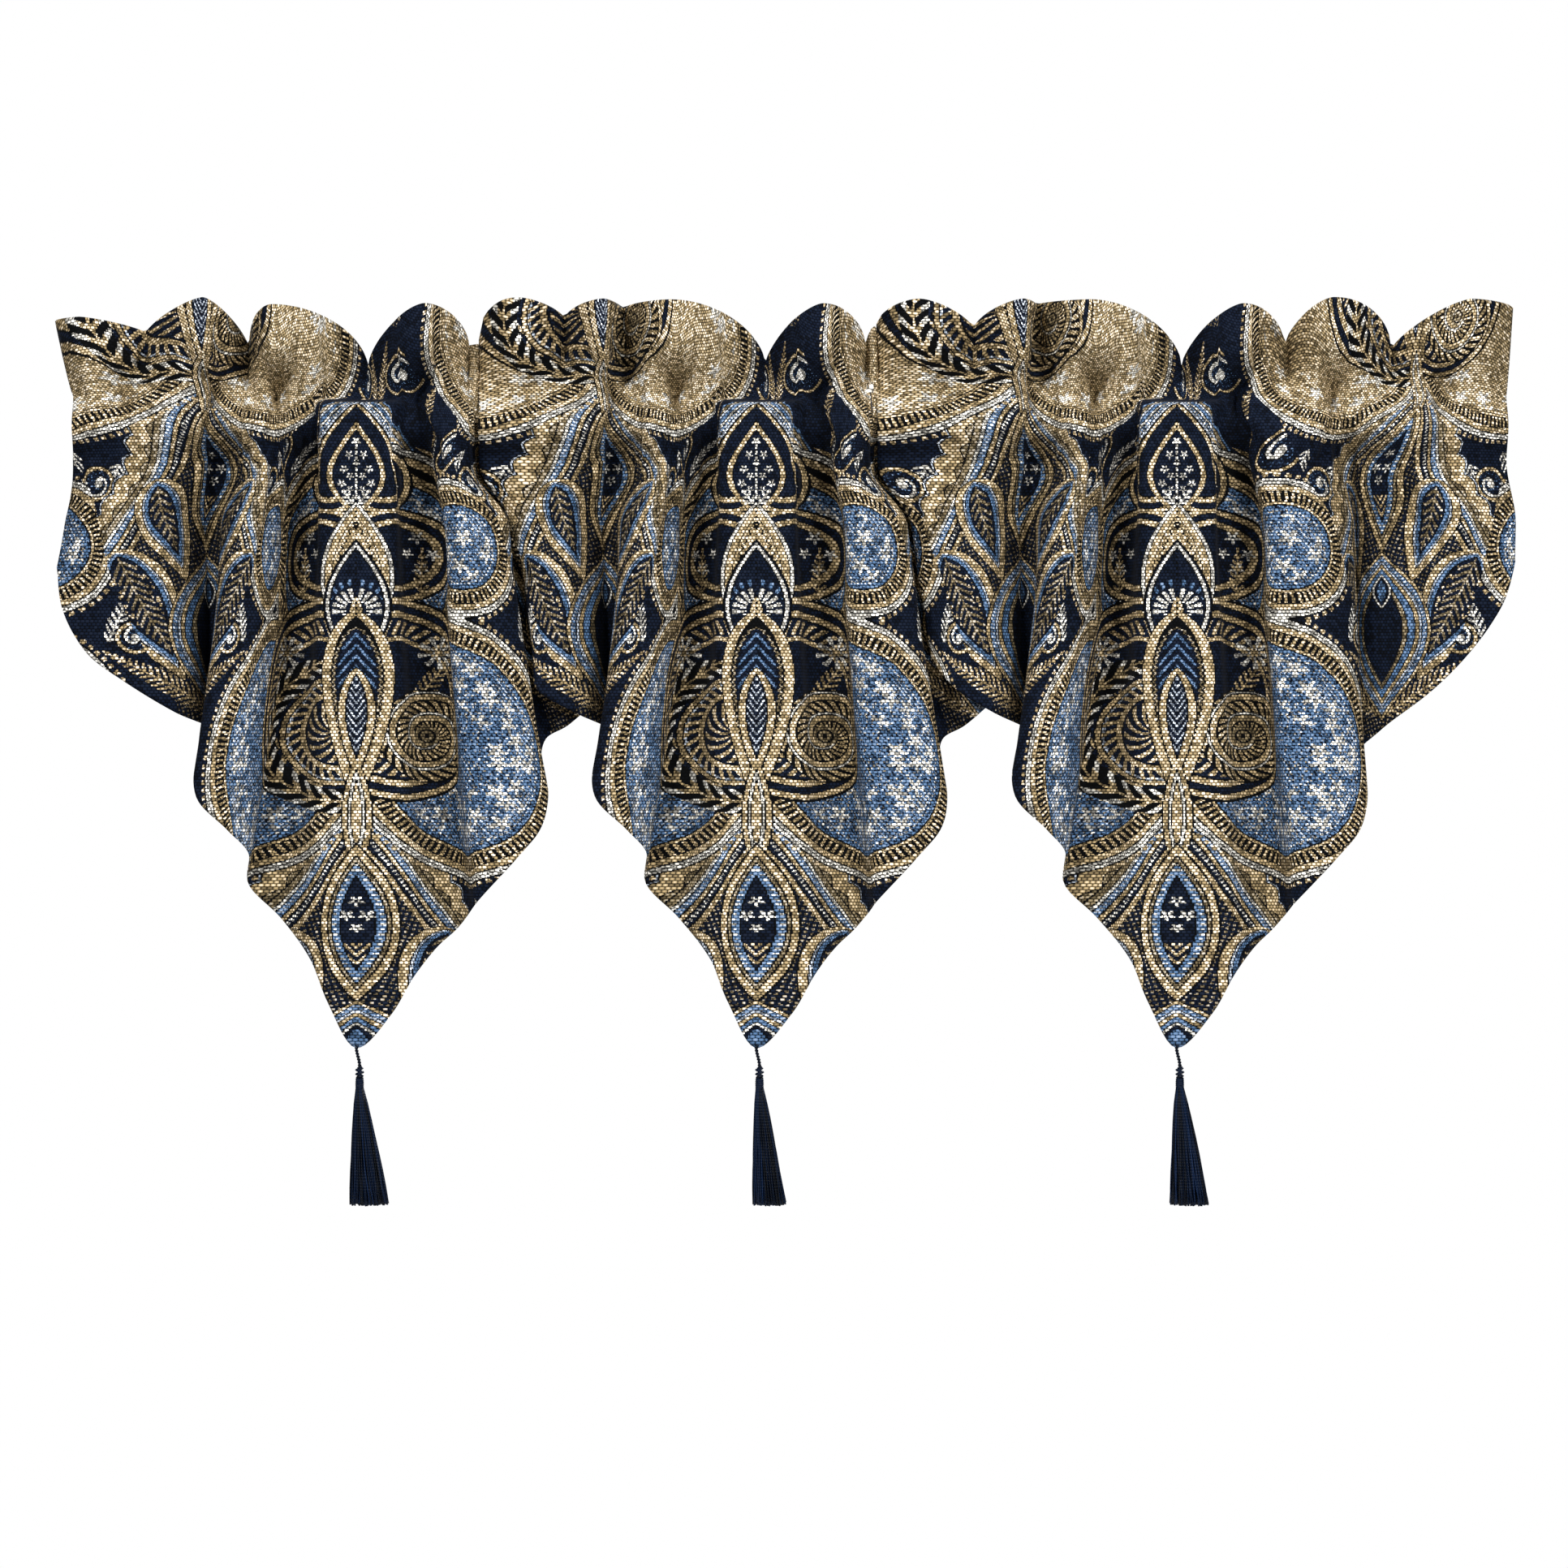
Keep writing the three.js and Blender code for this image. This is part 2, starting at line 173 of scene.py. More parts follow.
FRONT = (
    Fold(-116, -130, 26, -118, 23, -247, -270),  # left valley
    Fold(-100, -115, 18, -111, 11, -258, -254),  # left valley turn
    Fold(-88, -104, -9, -130, -5, -272, -236),  # left lobe edge
    Fold(-77, -90, -22, -130, -20, -302, -212),  # left lobe front
    Fold(-63, -70, -15, -105, -20, -328, -172),  # left lobe inner side
    Fold(-52, -56, 4, -89, -7, -347, -88),  # left recess side
    Fold(-42, -44, 19, -90, 10, -372, -62),  # left recess
    Fold(-31, -31, 13, -63, 6, -400, -46),  # pleat foot left
    Fold(-27, -27, -19, -37, -15, -434, -29),  # pleat edge left
    Fold(-14, -14, -23, -22, -20, -470, -14),  # pleat face left
    Fold(0, 0, -24, 0, -22, -505, 0),  # point
    Fold(14, 14, -23, 28, -20, -478, 14),  # pleat face right
    Fold(27, 28, -19, 47, -15, -446, 29),  # pleat edge right
    Fold(31, 33, 5, 65, 2, -423, 44),  # pleat foot right
    Fold(46, 50, 11, 80, 8, -409, 57),  # right recess
    Fold(60, 66, 6, 90, 4, -397, 70),  # step foot
    Fold(64, 69, -18, 99, -13, -385, 124),  # step edge
)

RIGHT_WING_TUCKED = (
    Fold(74, 92, -24, 131, -20, -350, 150),  # right lobe front
    Fold(84, 109, -18, 150, -18, -326, 174),  # right lobe side
    Fold(90, 118, -6, 155, -8, -298, 192),  # right lobe edge
    Fold(92, 112, 10, 149, 8, -276, 210),  # right lobe turn
    Fold(93.5, 117, 21, 152, 19, -254, 225),  # wing start
    Fold(95, 148, 24, 170, 20, -243, 252),  # wing behind
    Fold(105, 174, 22, 190, 18, -226, 280),  # hidden edge
)

RIGHT_WING_FREE = (
    Fold(96, 99, -23, 131, -21, -350, 150),  # right lobe front
    Fold(116, 124, -14, 150, -18, -326, 176),  # right lobe side
    Fold(130, 140, 4, 156, -7, -298, 198),  # right lobe edge
    Fold(145, 150, 25, 148, 14, -268, 232),  # right valley
    Fold(163, 168, 8, 168, 12, -247, 268),  # wing inner side
    Fold(205, 211, -15, 209, -10, -214, 316),  # wing front
    Fold(236, 242, -12, 244, -9, -178, 348),  # lower corner
    Fold(257, 264, -5, 268, -4, -141, 372),  # outer corner
    Fold(270, 278, 2, 277, 0, -110, 386),  # outer edge
)


def left_wing_tucked(pitch: float) -> tuple[Fold, ...]:
    """The left wing of a valance whose edge lies behind the lobe of its neighbour.

    Args:
        pitch: distance between the two valances' axes.

    Returns:
        Its folds, from the edge inwards.
    """
    body = 122 - pitch
    edge_weave = -340 - math.hypot(-184 - body, 13)
    return (
        Fold(98.8 - pitch, body, 4, 143 - pitch, 4, -190, edge_weave),  # outer edge
        Fold(-188, -184, -9, -179, -6, -213, -340),  # wing front
        Fold(-150, -157, -8, -149, -5, -232, -311),  # wing inner side
    )


LEFT_RUFFLES = (
    Ruffle(-231, 87, 1, -216, 88, 1.2, 15, -356, -344),
    Ruffle(-174, 77, 1.3, -125, 103, 1.4, 29, -310, -270),
    Ruffle(-90, 65, 2.2, -68, 97, 1.9, 33, -204, -168),
    Ruffle(7, 48, 1.5, 55, 98, 2, 31, -50, 62),
    Ruffle(89, 66, 1, 96, 67, 1, -8, 118, 126),
    Ruffle(98.2, 67, 1, 98.2, 67, 1, 0, 130, 130),
)

MIDDLE_RUFFLES = (
    Ruffle(-226, 72, 2.4, -193, 103, 1.5, 26, -360, -330),
    Ruffle(-157, 89, 1.6, -124, 102, 1.5, 28, -300, -270),
    Ruffle(-109, 97, 1.5, -70, 101, 1.9, 32, -236, -172),
    Ruffle(7, 49, 1.5, 54, 98, 2, 30, -50, 62),
    Ruffle(89, 66, 1.5, 97, 82, 1, -8, 118, 128),
    Ruffle(98.2, 80, 1, 98.2, 80, 1, 0, 131, 131),
)

RIGHT_RUFFLES = (
    Ruffle(-242.6, 85, 1.8, -208, 102, 1.4, 26, -366, -336),
    Ruffle(-164, 81, 1.5, -124, 102, 1.5, 27, -302, -270),
    Ruffle(-112, 100, 1.2, -70, 101, 1.8, 33, -240, -172),
    Ruffle(6, 49, 1.5, 54, 98, 2, 30, -50, 62),
    Ruffle(90, 65, 1.6, 128, 103, 2.1, 30, 122, 176),
    Ruffle(177, 63, 1.3, 238, 102, 1.5, 24, 240, 336),
    Ruffle(270, 98, 1, 270, 98, 1, 0, 386, 386),
)

FRONT_CREASES = (
    Crease(-66, -14, -84, -120, 6, -2.0),  # drag under the left puff
    Crease(-74, -22, -97, -150, 7, 1.6),  # ridge beside that drag
    Crease(-58, -18, -60, -95, 5, -1.6),  # drag to the left recess
    Crease(-24, 8, -22, -90, 5, 1.0),  # pull of the pleat's left edge
    Crease(25, 8, 24, -110, 5, 1.0),  # pull of the pleat's right edge
    Crease(3, -120, 5, -330, 11, -1.3),  # soft hollow of the pleat
    Crease(51, -10, 71, -130, 6, -1.8),  # drag under the right puff
    Crease(78, -34, 112, -250, 9, 1.7),  # ridge on the right lobe
    Crease(88, -60, 132, -290, 8, -1.5),  # hollow on the right lobe
    Crease(-118, -262, -92, -322, 9, -1.6),  # slack above the left hem
    Crease(140, -306, 104, -356, 10, -1.7),  # slack above the right hem
    Crease(34, -380, 24, -452, 8, -1.2),  # slack beside the point
)

LEFT_WING_CREASES = (
    Crease(-168, -30, -178, -190, 9, -2.2),  # long drag of the wing
    Crease(-196, -28, -206, -150, 8, 1.8),  # fall from the heading
    Crease(-150, -40, -216, -166, 10, -1.6),  # slant to the corner
    Crease(-128, -30, -138, -225, 7, 1.8),  # valley's soft side
)

RIGHT_WING_CREASES = (
    Crease(186, -30, 196, -200, 9, -2.2),  # long drag of the wing
    Crease(226, -28, 236, -150, 9, 1.8),  # fall from the heading
    Crease(172, -40, 248, -150, 10, -1.8),  # slant to the corner
    Crease(150, -30, 158, -235, 7, 1.8),  # valley's soft side
)


FRONT_PINCHES = (
    Pinch(-118, 23, 27, 0.35, (
        (-20, -56, 4, -2.2), (-7, -84, 4.5, -2.4), (9, -60, 4, -2.0), (-24, 42, 4, -2.0),
        (4, 62, 5, -2.2), (20, 40, 4, -1.8),
    )),
    Pinch(-66, 22, 28, 0.50, (
        (-19, -72, 4, -2.6), (-5, -98, 4.5, -2.2), (11, -58, 3.5, -2.2), (-17, 38, 4, -2.4),
        (-2, 62, 6, -1.6), (20, 46, 4, -2.2),
    )),
    Pinch(49, 20, 26, 0.45, (
        (-9, -52, 3.5, -2.0), (8, -90, 4, -2.4), (22, -60, 4, -2.0), (-20, 34, 4, -1.8),
        (0, 58, 5, -1.8), (18, 44, 4, -2.2),
    )),
)

LEFT_PINCHES = (
    Pinch(-188, 24, 24, 0.28, (
        (-14, -60, 4.5, -2.0), (8, -92, 5, -2.4), (-20, 40, 4.5, -2.2), (12, 44, 4, -1.8),
    )),
)

RIGHT_PINCHES = (
    Pinch(128, 22, 26, 0.40, (
        (-14, -58, 4, -2.0), (4, -88, 5, -2.2), (18, -56, 4, -1.8), (-16, 42, 4, -2.0),
        (14, 48, 4, -2.2),
    )),
    Pinch(214, 24, 28, 0.32, (
        (-14, -62, 5, -2.2), (10, -90, 5, -2.2), (-18, 40, 4.5, -2.0), (24, 46, 4.5, -2.0),
    )),
)


class Place(Enum):
    """Where a valance hangs in the row."""

    LEFT = "left"
    MIDDLE = "middle"
    RIGHT = "right"


def lerp(a: Array | float, b: Array | float, share: Array | float) -> Array:
    """A straight blend from a to b."""
    return a + (b - a) * share


def smoothstep(x: Array, low: Array | float, high: Array | float) -> Array:
    """0 below low, 1 above high, and a smooth step between."""
    share = np.clip((x - low) / (high - low), 0, 1)
    return share * share * (3 - 2 * share)


def eased(values: Array, taps: int, mode: str = "reflect", **pad: str) -> Array:
    """Even out a row of values, which is carried on past its ends.

    Args:
        values: a row of values.
        taps: over how many neighbours they're evened.
        mode: how the row is carried on.
        pad: more on how it's carried on.

    Returns:
        A row of the same length.
    """
    kernel = np.hanning(taps) / np.hanning(taps).sum()
    return np.convolve(np.pad(values, taps // 2, mode=mode, **pad), kernel, "valid")


def normals(points: Array) -> Array:
    """Unit normals of a grid of points, towards its front."""
    normal = np.cross(np.gradient(points, axis=1), np.gradient(points, axis=0))
    return normal / np.maximum(np.linalg.norm(normal, axis=2, keepdims=True), 1e-9)


def put(name: str, data: bpy.types.ID) -> Object:
    """Add an object to the scene.

    Args:
        name: its name.
        data: its mesh, light or camera.

    Returns:
        The object.
    """
    made = bpy.data.objects.new(name, data)
    bpy.context.scene.collection.objects.link(made)
    return made


def dress_mesh(mesh: Mesh, attribute: str, values: Array, maps: dict[str, Array]) -> None:
    """Give a mesh's points a value and places on UV maps, and smooth its faces.

    Args:
        mesh: the mesh.
        attribute: the value's name.
        values: the value at each point.
        maps: each UV map's name, with the points' places on it.
    """
    corner = np.empty(len(mesh.loops), np.int32)
    mesh.loops.foreach_get("vertex_index", corner)
    for name, places in maps.items():
        mesh.uv_layers.new(name=name).data.foreach_set("uv", places[corner].ravel())
    mesh.attributes.new(attribute, "FLOAT", "POINT").data.foreach_set("value", values.astype(np.float32))
    mesh.polygons.foreach_set("use_smooth", np.ones(len(mesh.polygons), bool))
    mesh.update()


def smooth_curve(points: Array, at: Array) -> Array:
    """A centripetal curve through points, the same as the solids follow.

    Args:
        points: an array of points, one to a row.
        at: places along the curve, from 0 to 1.

    Returns:
        The curve's points at those places.
    """
    last = len(points) - 1
    padded = np.vstack([2 * points[0] - points[1], points, 2 * points[-1] - points[-2]])
    index = np.minimum((at * last).astype(int), last - 1)
    weight = (at * last - index)[:, None]
    p0, p1, p2, p3 = (padded[index + k] for k in range(4))

    def knot(a: Array, b: Array) -> Array:
        """Spacing between points, as the root of their distance."""
        return np.maximum(((b - a) ** 2).sum(axis=1) ** 0.25, 1e-4)[:, None]

    d0, d1, d2 = knot(p0, p1), knot(p1, p2), knot(p2, p3)
    t1 = ((p1 - p0) / d0 - (p2 - p0) / (d0 + d1) + (p2 - p1) / d1) * d1
    t2 = ((p2 - p1) / d1 - (p3 - p1) / (d1 + d2) + (p3 - p2) / d2) * d1
    cubic = 2 * p1 - 2 * p2 + t1 + t2
    square = -3 * p1 + 3 * p2 - 2 * t1 - t2
    return p1 + weight * (t1 + weight * (square + weight * cubic))


@dataclass
class Gathers:
    """Fine gathers that the lines of stitching pull into the cloth."""

    pitch: float = 21.0
    second_pitch: float = 11.7
    second_shift: float = 1.3
    height: float = 3.1
    second_height: float = 1.4
    sharpness: float = 0.8
    reach_up: float = 17.0
    reach_down: float = 34.0
    sway: float = 2.1
    sway_pitch: float = 61.0
    steady: float = 0.65
    uneven: float = 0.35
    uneven_shift: float = 0.6
    uneven_runs: tuple[float, float] = (23.0, 9.1)

    def ridges(self, along: Array) -> Array:
        """Heights of the gathers' ridges.

        Args:
            along: distances along the cloth's width.

        Returns:
            How far the cloth stands out there.
        """
        swayed = along + self.sway * np.sin(2 * np.pi * along / self.sway_pitch)
        first = 1 - np.abs(np.sin(np.pi * swayed / self.pitch)) ** self.sharpness
        second = 1 - np.abs(np.sin(np.pi * swayed / self.second_pitch + self.second_shift))
        slow, quick = self.uneven_runs
        strength = self.uneven * np.sin(along / slow + self.uneven_shift) * np.sin(along / quick)
        strength += self.steady
        return strength * (self.height * first + self.second_height * second)

    def envelope(self, z: Array, stitch: float) -> Array:
        """How strongly the gathers show.

        Args:
            z: heights on the cloth.
            stitch: how far the two lines of stitching are from the rod's axis.

        Returns:
            A share, 1 between the lines and less away from them.
        """
        above = np.exp(-np.maximum(z - stitch, 0) / self.reach_up)
        below = np.exp(-np.maximum(-stitch - z, 0) / self.reach_down)
        return above * below


@dataclass
class AscotCloth:
    """One valance's cloth as one sheet: panel, pocket and header, with its back layer and turned hem."""

    place: Place
    axis_x: float
    ruffles: tuple[Ruffle, ...]
    left_wing: tuple[Fold, ...]
    right_wing: tuple[Fold, ...]
    creases: tuple[Crease, ...]
    pinches: tuple[Pinch, ...]
    left_flare: float = 0.0
    right_flare: float = 0.0
    heading: HeadingSizes = field(default_factory=HeadingSizes)
    hang: HangSizes = field(default_factory=HangSizes)
    gathers: Gathers = field(default_factory=Gathers)
    # The sheet's columns and rows, and how closely the rows stand
    columns: int = 280
    fine_steps: int = 4001
    hem_steps: tuple[float, ...] = (1.0, 0.6, 0.25, 0.04)
    hem_fold: float = 0.45
    panel_rows: int = 78
    panel_bunch: float = 1.15
    pocket_rows: int = 26
    pocket_share: float = 0.985
    header_rows: int = 22
    header_start: float = 0.06
    header_bunch: float = 1.05
    back_rows: int = 11
    # How much the body and the hem each tell in the width, and over how many columns values are evened
    body_share: float = 0.7
    hem_share: float = 0.3
    spread: int = 21
    weave_spread: int = 9
    shade_spread: int = 7
    # Thickness, slack, the ledge over the pleat, pinches, creases, painted shade and the edge that a
    # neighbour covers
    thickness: float = 1.2
    header_slack: float = 14.0
    slack_low: float = 10.0
    slack_high: float = 60.0
    weave_drop: float = 22.0
    axis_bend: float = 0.5
    even_low: float = 14.0
    even_high: float = 40.0
    pinch_height: float = 15.0
    pinch_sink: float = 4.0
    ledge_left: float = -27.0
    ledge_right: float = 31.0
    ledge_edge: float = 3.5
    ledge_z: float = 20.0
    ledge_y: float = -24.0
    ledge_soft: float = 3.0
    ledge_below: float = 2.0
    ledge_above: float = 3.0
    ledge_calm: float = 0.75
    back_calm: float = 0.6
    back_low: float = 6.0
    back_high: float = 20.0
    unevenness: float = 0.5
    wave_across: tuple[float, float] = (15.0, 88.0)
    wave_down: tuple[float, float] = (47.0, 31.0)
    crease_strength: float = 2.3
    crease_bow: float = 3.0
    crease_end: float = 0.04
    fold_view: float = 75.0
    side_reach: float = 4.0
    over_reach: float = 6.0
    over_shade: float = 0.45
    tuck: float = 4.0
    tuck_from: float = 97.0
    tuck_to: float = 100.0
    tuck_level: float = 0.5

    def __post_init__(self) -> None:
        """Lay out the columns of the cloth at even steps of its width."""
        self.folds = (*self.left_wing, *FRONT, *self.right_wing)
        self.turned = len(self.hem_steps)
        self.crown = self.turned + self.panel_rows + self.pocket_rows + self.header_rows
        pocket = np.array([(f.pocket_x, f.body_y, 0) for f in self.folds], float)
        body = np.array([(f.body_x, f.body_y * self.hang.deepen, 0) for f in self.folds], float)
        hem = np.array([(f.hem_x, f.hem_y, f.hem_z) for f in self.folds], float)
        fine = np.linspace(0, 1, self.fine_steps)
        lengths = [np.hypot(*np.diff(smooth_curve(line, fine)[:, :2], axis=0).T) for line in (body, hem)]
        steps = self.body_share * lengths[0] + self.hem_share * lengths[1]
        length = np.concatenate([[0], np.cumsum(steps)])
        self.width = float(length[-1])
        self.along = np.linspace(0, self.width, self.columns)
        self.station = np.interp(self.along, length, fine)
        self.pocket, self.body, self.hem = (smooth_curve(line, self.station) for line in (pocket, body, hem))
        self.depth = self.pocket[:, 1].copy()
        self.pocket[:, 1] *= np.where(self.depth < 0, self.hang.ridge_fold, self.hang.valley_fold)
        self.x = self.pocket[:, 0]
        self.header_x = eased(np.maximum.accumulate(self.x), self.spread, reflect_type="odd")
        self._measure_ruffles()

    def _measure_ruffles(self) -> None:
        """Work out the header's outline, forwardness and flare at each column."""
        from_x = np.array([r.from_x for r in self.ruffles])
        index = np.clip(np.searchsorted(from_x, self.header_x, side="right") - 1, 0, len(from_x) - 2)
        pick = lambda name, rows: np.array([getattr(self.ruffles[i], name) for i in rows], float)
        crest_x = pick("crest_x", index)
        rising = self.header_x < crest_x
        foot = np.where(rising, index, index + 1)
        foot_x, foot_z = pick("from_x", foot), pick("notch_z", foot)
        share = np.clip((self.header_x - foot_x) / (crest_x - foot_x), 0, 1)
        bend = np.where(rising, pick("rise", index), pick("fall", index))
        outline = (1 - (1 - share) ** bend) ** (1 / bend)
        self.top_z = lerp(foot_z, pick("crest_z", index), outline)
        self.forward = np.sin(share * np.pi / 2) ** self.heading.ruffle_swell
        self.bulge = pick("bulge", index)
        foot_weave, crest_weave = pick("from_weave", foot), pick("crest_weave", index)
        over_axis = foot_weave * crest_weave < 0
        self.header_weave = lerp(foot_weave, crest_weave, share ** np.where(over_axis, self.axis_bend, 1.0))
        size = self.heading
        left = np.clip(1 - (self.header_x - from_x[0]) / size.flare_reach, 0, 1) ** size.flare_fade
        right = np.clip(1 - (from_x[-1] - self.header_x) / size.flare_reach, 0, 1) ** size.flare_fade
        self.flare = self.left_flare * left + self.right_flare * right

    def _ledge(self) -> Array:
        """Find the flat pleat at the middle, whose top edge stands free below the header.

        Returns:
            1 on the pleat and 0 beside it, by column.
        """
        on = smoothstep(self.x, self.ledge_left - self.ledge_edge, self.ledge_left)
        off = smoothstep(self.x, self.ledge_right, self.ledge_right + self.ledge_edge)
        return on * (1 - off)

    def _heading_levels(self) -> tuple[Array, Array]:
        """Heights and depths that the front of the heading passes through, from the lower stitching up.

        Returns:
            Heights and depths by level and column.
        """
        size = self.heading
        ridge = (self.hang.fold_depth - self.depth) / (2 * self.hang.fold_depth) * (1 - self._ledge())
        rod = -size.rod_room - size.pocket_ridge * ridge
        waist = lerp(size.waist_back, -self.bulge, self.forward**size.ruffle_taper)
        top = lerp(size.header_back, -self.bulge + size.header_curl, self.forward)
        pinched = np.max([pinch.grip(self.header_x) for pinch in self.pinches], axis=0)
        sewn = lerp((rod + waist) / 2 + size.stitch_dip, size.pinch_back, pinched)
        sewn = eased(sewn, self.spread, reflect_type="odd")
        low = np.full_like(self.x, -size.stitch_rise)
        waist_z = lerp(size.stitch_rise, self.top_z, size.header_waist)
        heights = np.stack([low, 0 * low, -low, waist_z, self.top_z])
        return heights, np.stack([self.pocket[:, 1], rod, sewn, waist, top])

    def _heading_front(self, z: Array) -> Array:
        """Depth of the front of the heading.

        Args:
            z: a height for each column.

        Returns:
            The depth by column.
        """
        heights, depths = self._heading_levels()
        run = np.diff(heights, axis=0)
        slope = np.diff(depths, axis=0) / run
        tangent = np.empty_like(depths)
        tangent[1:-1] = (slope[:-1] * run[1:] + slope[1:] * run[:-1]) / (run[1:] + run[:-1])
        tangent[0], tangent[-1] = slope[0] / 2, slope[-1]
        at = np.clip((z[None, :] > heights).sum(axis=0) - 1, 0, len(run) - 1)
        pick = lambda table: np.take_along_axis(table, at[None, :], axis=0)[0]
        span, start, end = pick(run), pick(tangent[:-1]), pick(tangent[1:])
        share = (z - pick(heights[:-1])) / span
        rise = pick(depths[1:]) - pick(depths[:-1])
        bend = share * (1 - share) * ((1 - share) * (start * span - rise) - share * (end * span - rise))
        return pick(depths[:-1]) + rise * share + bend

    def header_row(self, height: float) -> Array:
        """One row of the header's front.

        Args:
            height: a share of the header's height above the upper stitching.

        Returns:
            The row's points.
        """
        size = self.heading
        z = lerp(size.stitch_rise, self.top_z, height)
        x = self._column_x(z) + self.flare * height**size.flare_bend
        return np.stack([x, self._heading_front(z) + self._tuck(), z], axis=1)

    def _tuck(self) -> Array:
        """How far the right edge of the heading lies behind the neighbour that covers it."""
        covered = self.right_wing is not RIGHT_WING_FREE
        return covered * self.tuck * smoothstep(self.x, self.tuck_from, self.tuck_to)

    def _column_x(self, z: Array) -> Array:
        """Where the columns run at height z: bunched in the folds below, and even in the header."""
        return lerp(self.x, self.header_x, smoothstep(z, self.even_low, self.even_high))

    def pocket_front_row(self, level: float) -> Array:
        """One row of the pocket's front.

        Args:
            level: a share of the pocket's half height, from the rod's axis.

        Returns:
            The row's points.
        """
        z = np.full_like(self.x, level * self.heading.stitch_rise)
        shelf = smoothstep(-z, -self.ledge_z - self.ledge_soft, -self.ledge_z + self.ledge_soft)
        y = lerp(self._heading_front(z), self.ledge_y, self._ledge() * shelf)
        return np.stack([self._column_x(z), y + self._tuck() * (level > self.tuck_level), z], axis=1)

    def pocket_back_row(self, level: float) -> Array:
        """One row of the pocket's back.

        Args:
            level: a share of the pocket's half height, from the rod's axis.

        Returns:
            The row's points.
        """
        size = self.heading
        z = np.full_like(self.x, level * size.stitch_rise)
        depths = self._heading_levels()[1]
        layer = lerp(depths[2], depths[0], (1 - level) / 2) + size.layer_gap
        swell = max(1 - level * level, 0) ** size.pocket_swell
        return np.stack([self._column_x(z), lerp(layer, np.maximum(size.rod_room, layer), swell), z], axis=1)

    def panel_row(self, down: float) -> Array:
        """One row of the hanging cloth.

        Args:
            down: a share of the cloth's drop.

        Returns:
            The row's points.
        """
        top = -self.heading.stitch_rise - self.heading.sewn / 2 - self.hang.seam_gap
        length = top - self.hem[:, 2]
        hang = lerp(self.body, self.hem, down**self.hang.hang_bend)
        free = smoothstep(down * length, 0, self.hang.release)
        row = lerp(self.pocket, hang, free[:, None])
        row[:, 1] = lerp(row[:, 1], self.ledge_y, self._ledge() * (1 - free))
        row[:, 2] = top - down * length
        return row

    def surface(self) -> tuple[Array, Array, Array]:
        """The cloth's middle surface, from the turned hem up the front and down the back.

        Returns:
            Points by row and column, each row's part (0 front, 1 back or turned), and weave places
            by row and column as across and down.
        """
        down = np.linspace(0, 1, self.panel_rows) ** self.panel_bunch
        panel = [self.panel_row(d) for d in down[::-1]]
        levels = np.cos(np.linspace(np.pi, 0, self.pocket_rows)) * self.pocket_share
        back_levels = np.cos(np.linspace(0, np.pi, self.back_rows)) * self.pocket_share
        heights = np.linspace(self.header_start, 1, self.header_rows) ** self.header_bunch
        front = [*map(self.pocket_front_row, levels), *map(self.header_row, heights)]
        header = front[-self.header_rows :]
        back = [*header[::-1], *map(self.pocket_back_row, back_levels)]
        points = np.stack([*self._turned_hem(panel[0], panel[1]), *panel, *front, header[-1], *back])
        row = np.arange(len(points))
        hidden = ((row < self.turned) | (row > self.crown)).astype(float)
        return points, hidden, self._weave(points)

    def _turned_hem(self, edge: Array, above: Array) -> list[Array]:
        """Turn up the hem's strip behind the lower edge.

        Args:
            edge: the panel's lowest row.
            above: the row above it.

        Returns:
            The strip's rows, from its top down to the edge.
        """
        way = above - edge
        way /= np.maximum(np.linalg.norm(way, axis=1, keepdims=True), 1e-6)
        rows = []
        for share in self.hem_steps:
            row = edge + way * self.hang.hem_turn * share
            row[:, 1] += self.hang.hem_gap * min(1.0, self.hem_fold + share)
            rows.append(row)
        return rows

    def _weave(self, points: Array) -> Array:
        """Find each point's place in the woven pattern.

        Args:
            points: the smooth surface.

        Returns:
            Places across and down, in millimetres, by row and column.
        """
        at = np.arange(len(self.folds))
        body = np.interp(self.station * at[-1], at, [f.weave for f in self.folds])
        body = eased(body, self.weave_spread, reflect_type="odd")
        height = points[:, :, 2]
        down = -height.copy()
        edge = down[self.turned]
        down[: self.turned] = edge + (edge - down[: self.turned])
        first = self.turned + self.panel_rows
        steps = np.linalg.norm(np.diff(points[first - 1 :], axis=0), axis=2)
        down[first:] = down[first - 1] - np.cumsum(steps, axis=0)
        down[first:] -= self.header_slack * smoothstep(height[first:], self.slack_low, self.slack_high)
        ledge = self._ledge()
        low = lerp(-self.heading.stitch_rise - self.weave_drop, self.ledge_z - self.ledge_below, ledge)
        high = lerp(self.heading.stitch_rise, self.ledge_z + self.ledge_above, ledge)
        share = smoothstep(height, low, high)
        share[self.crown + 1 :] = 1
        share[: self.turned] = 0
        return np.stack([lerp(body, self.header_weave, share), down], axis=2)

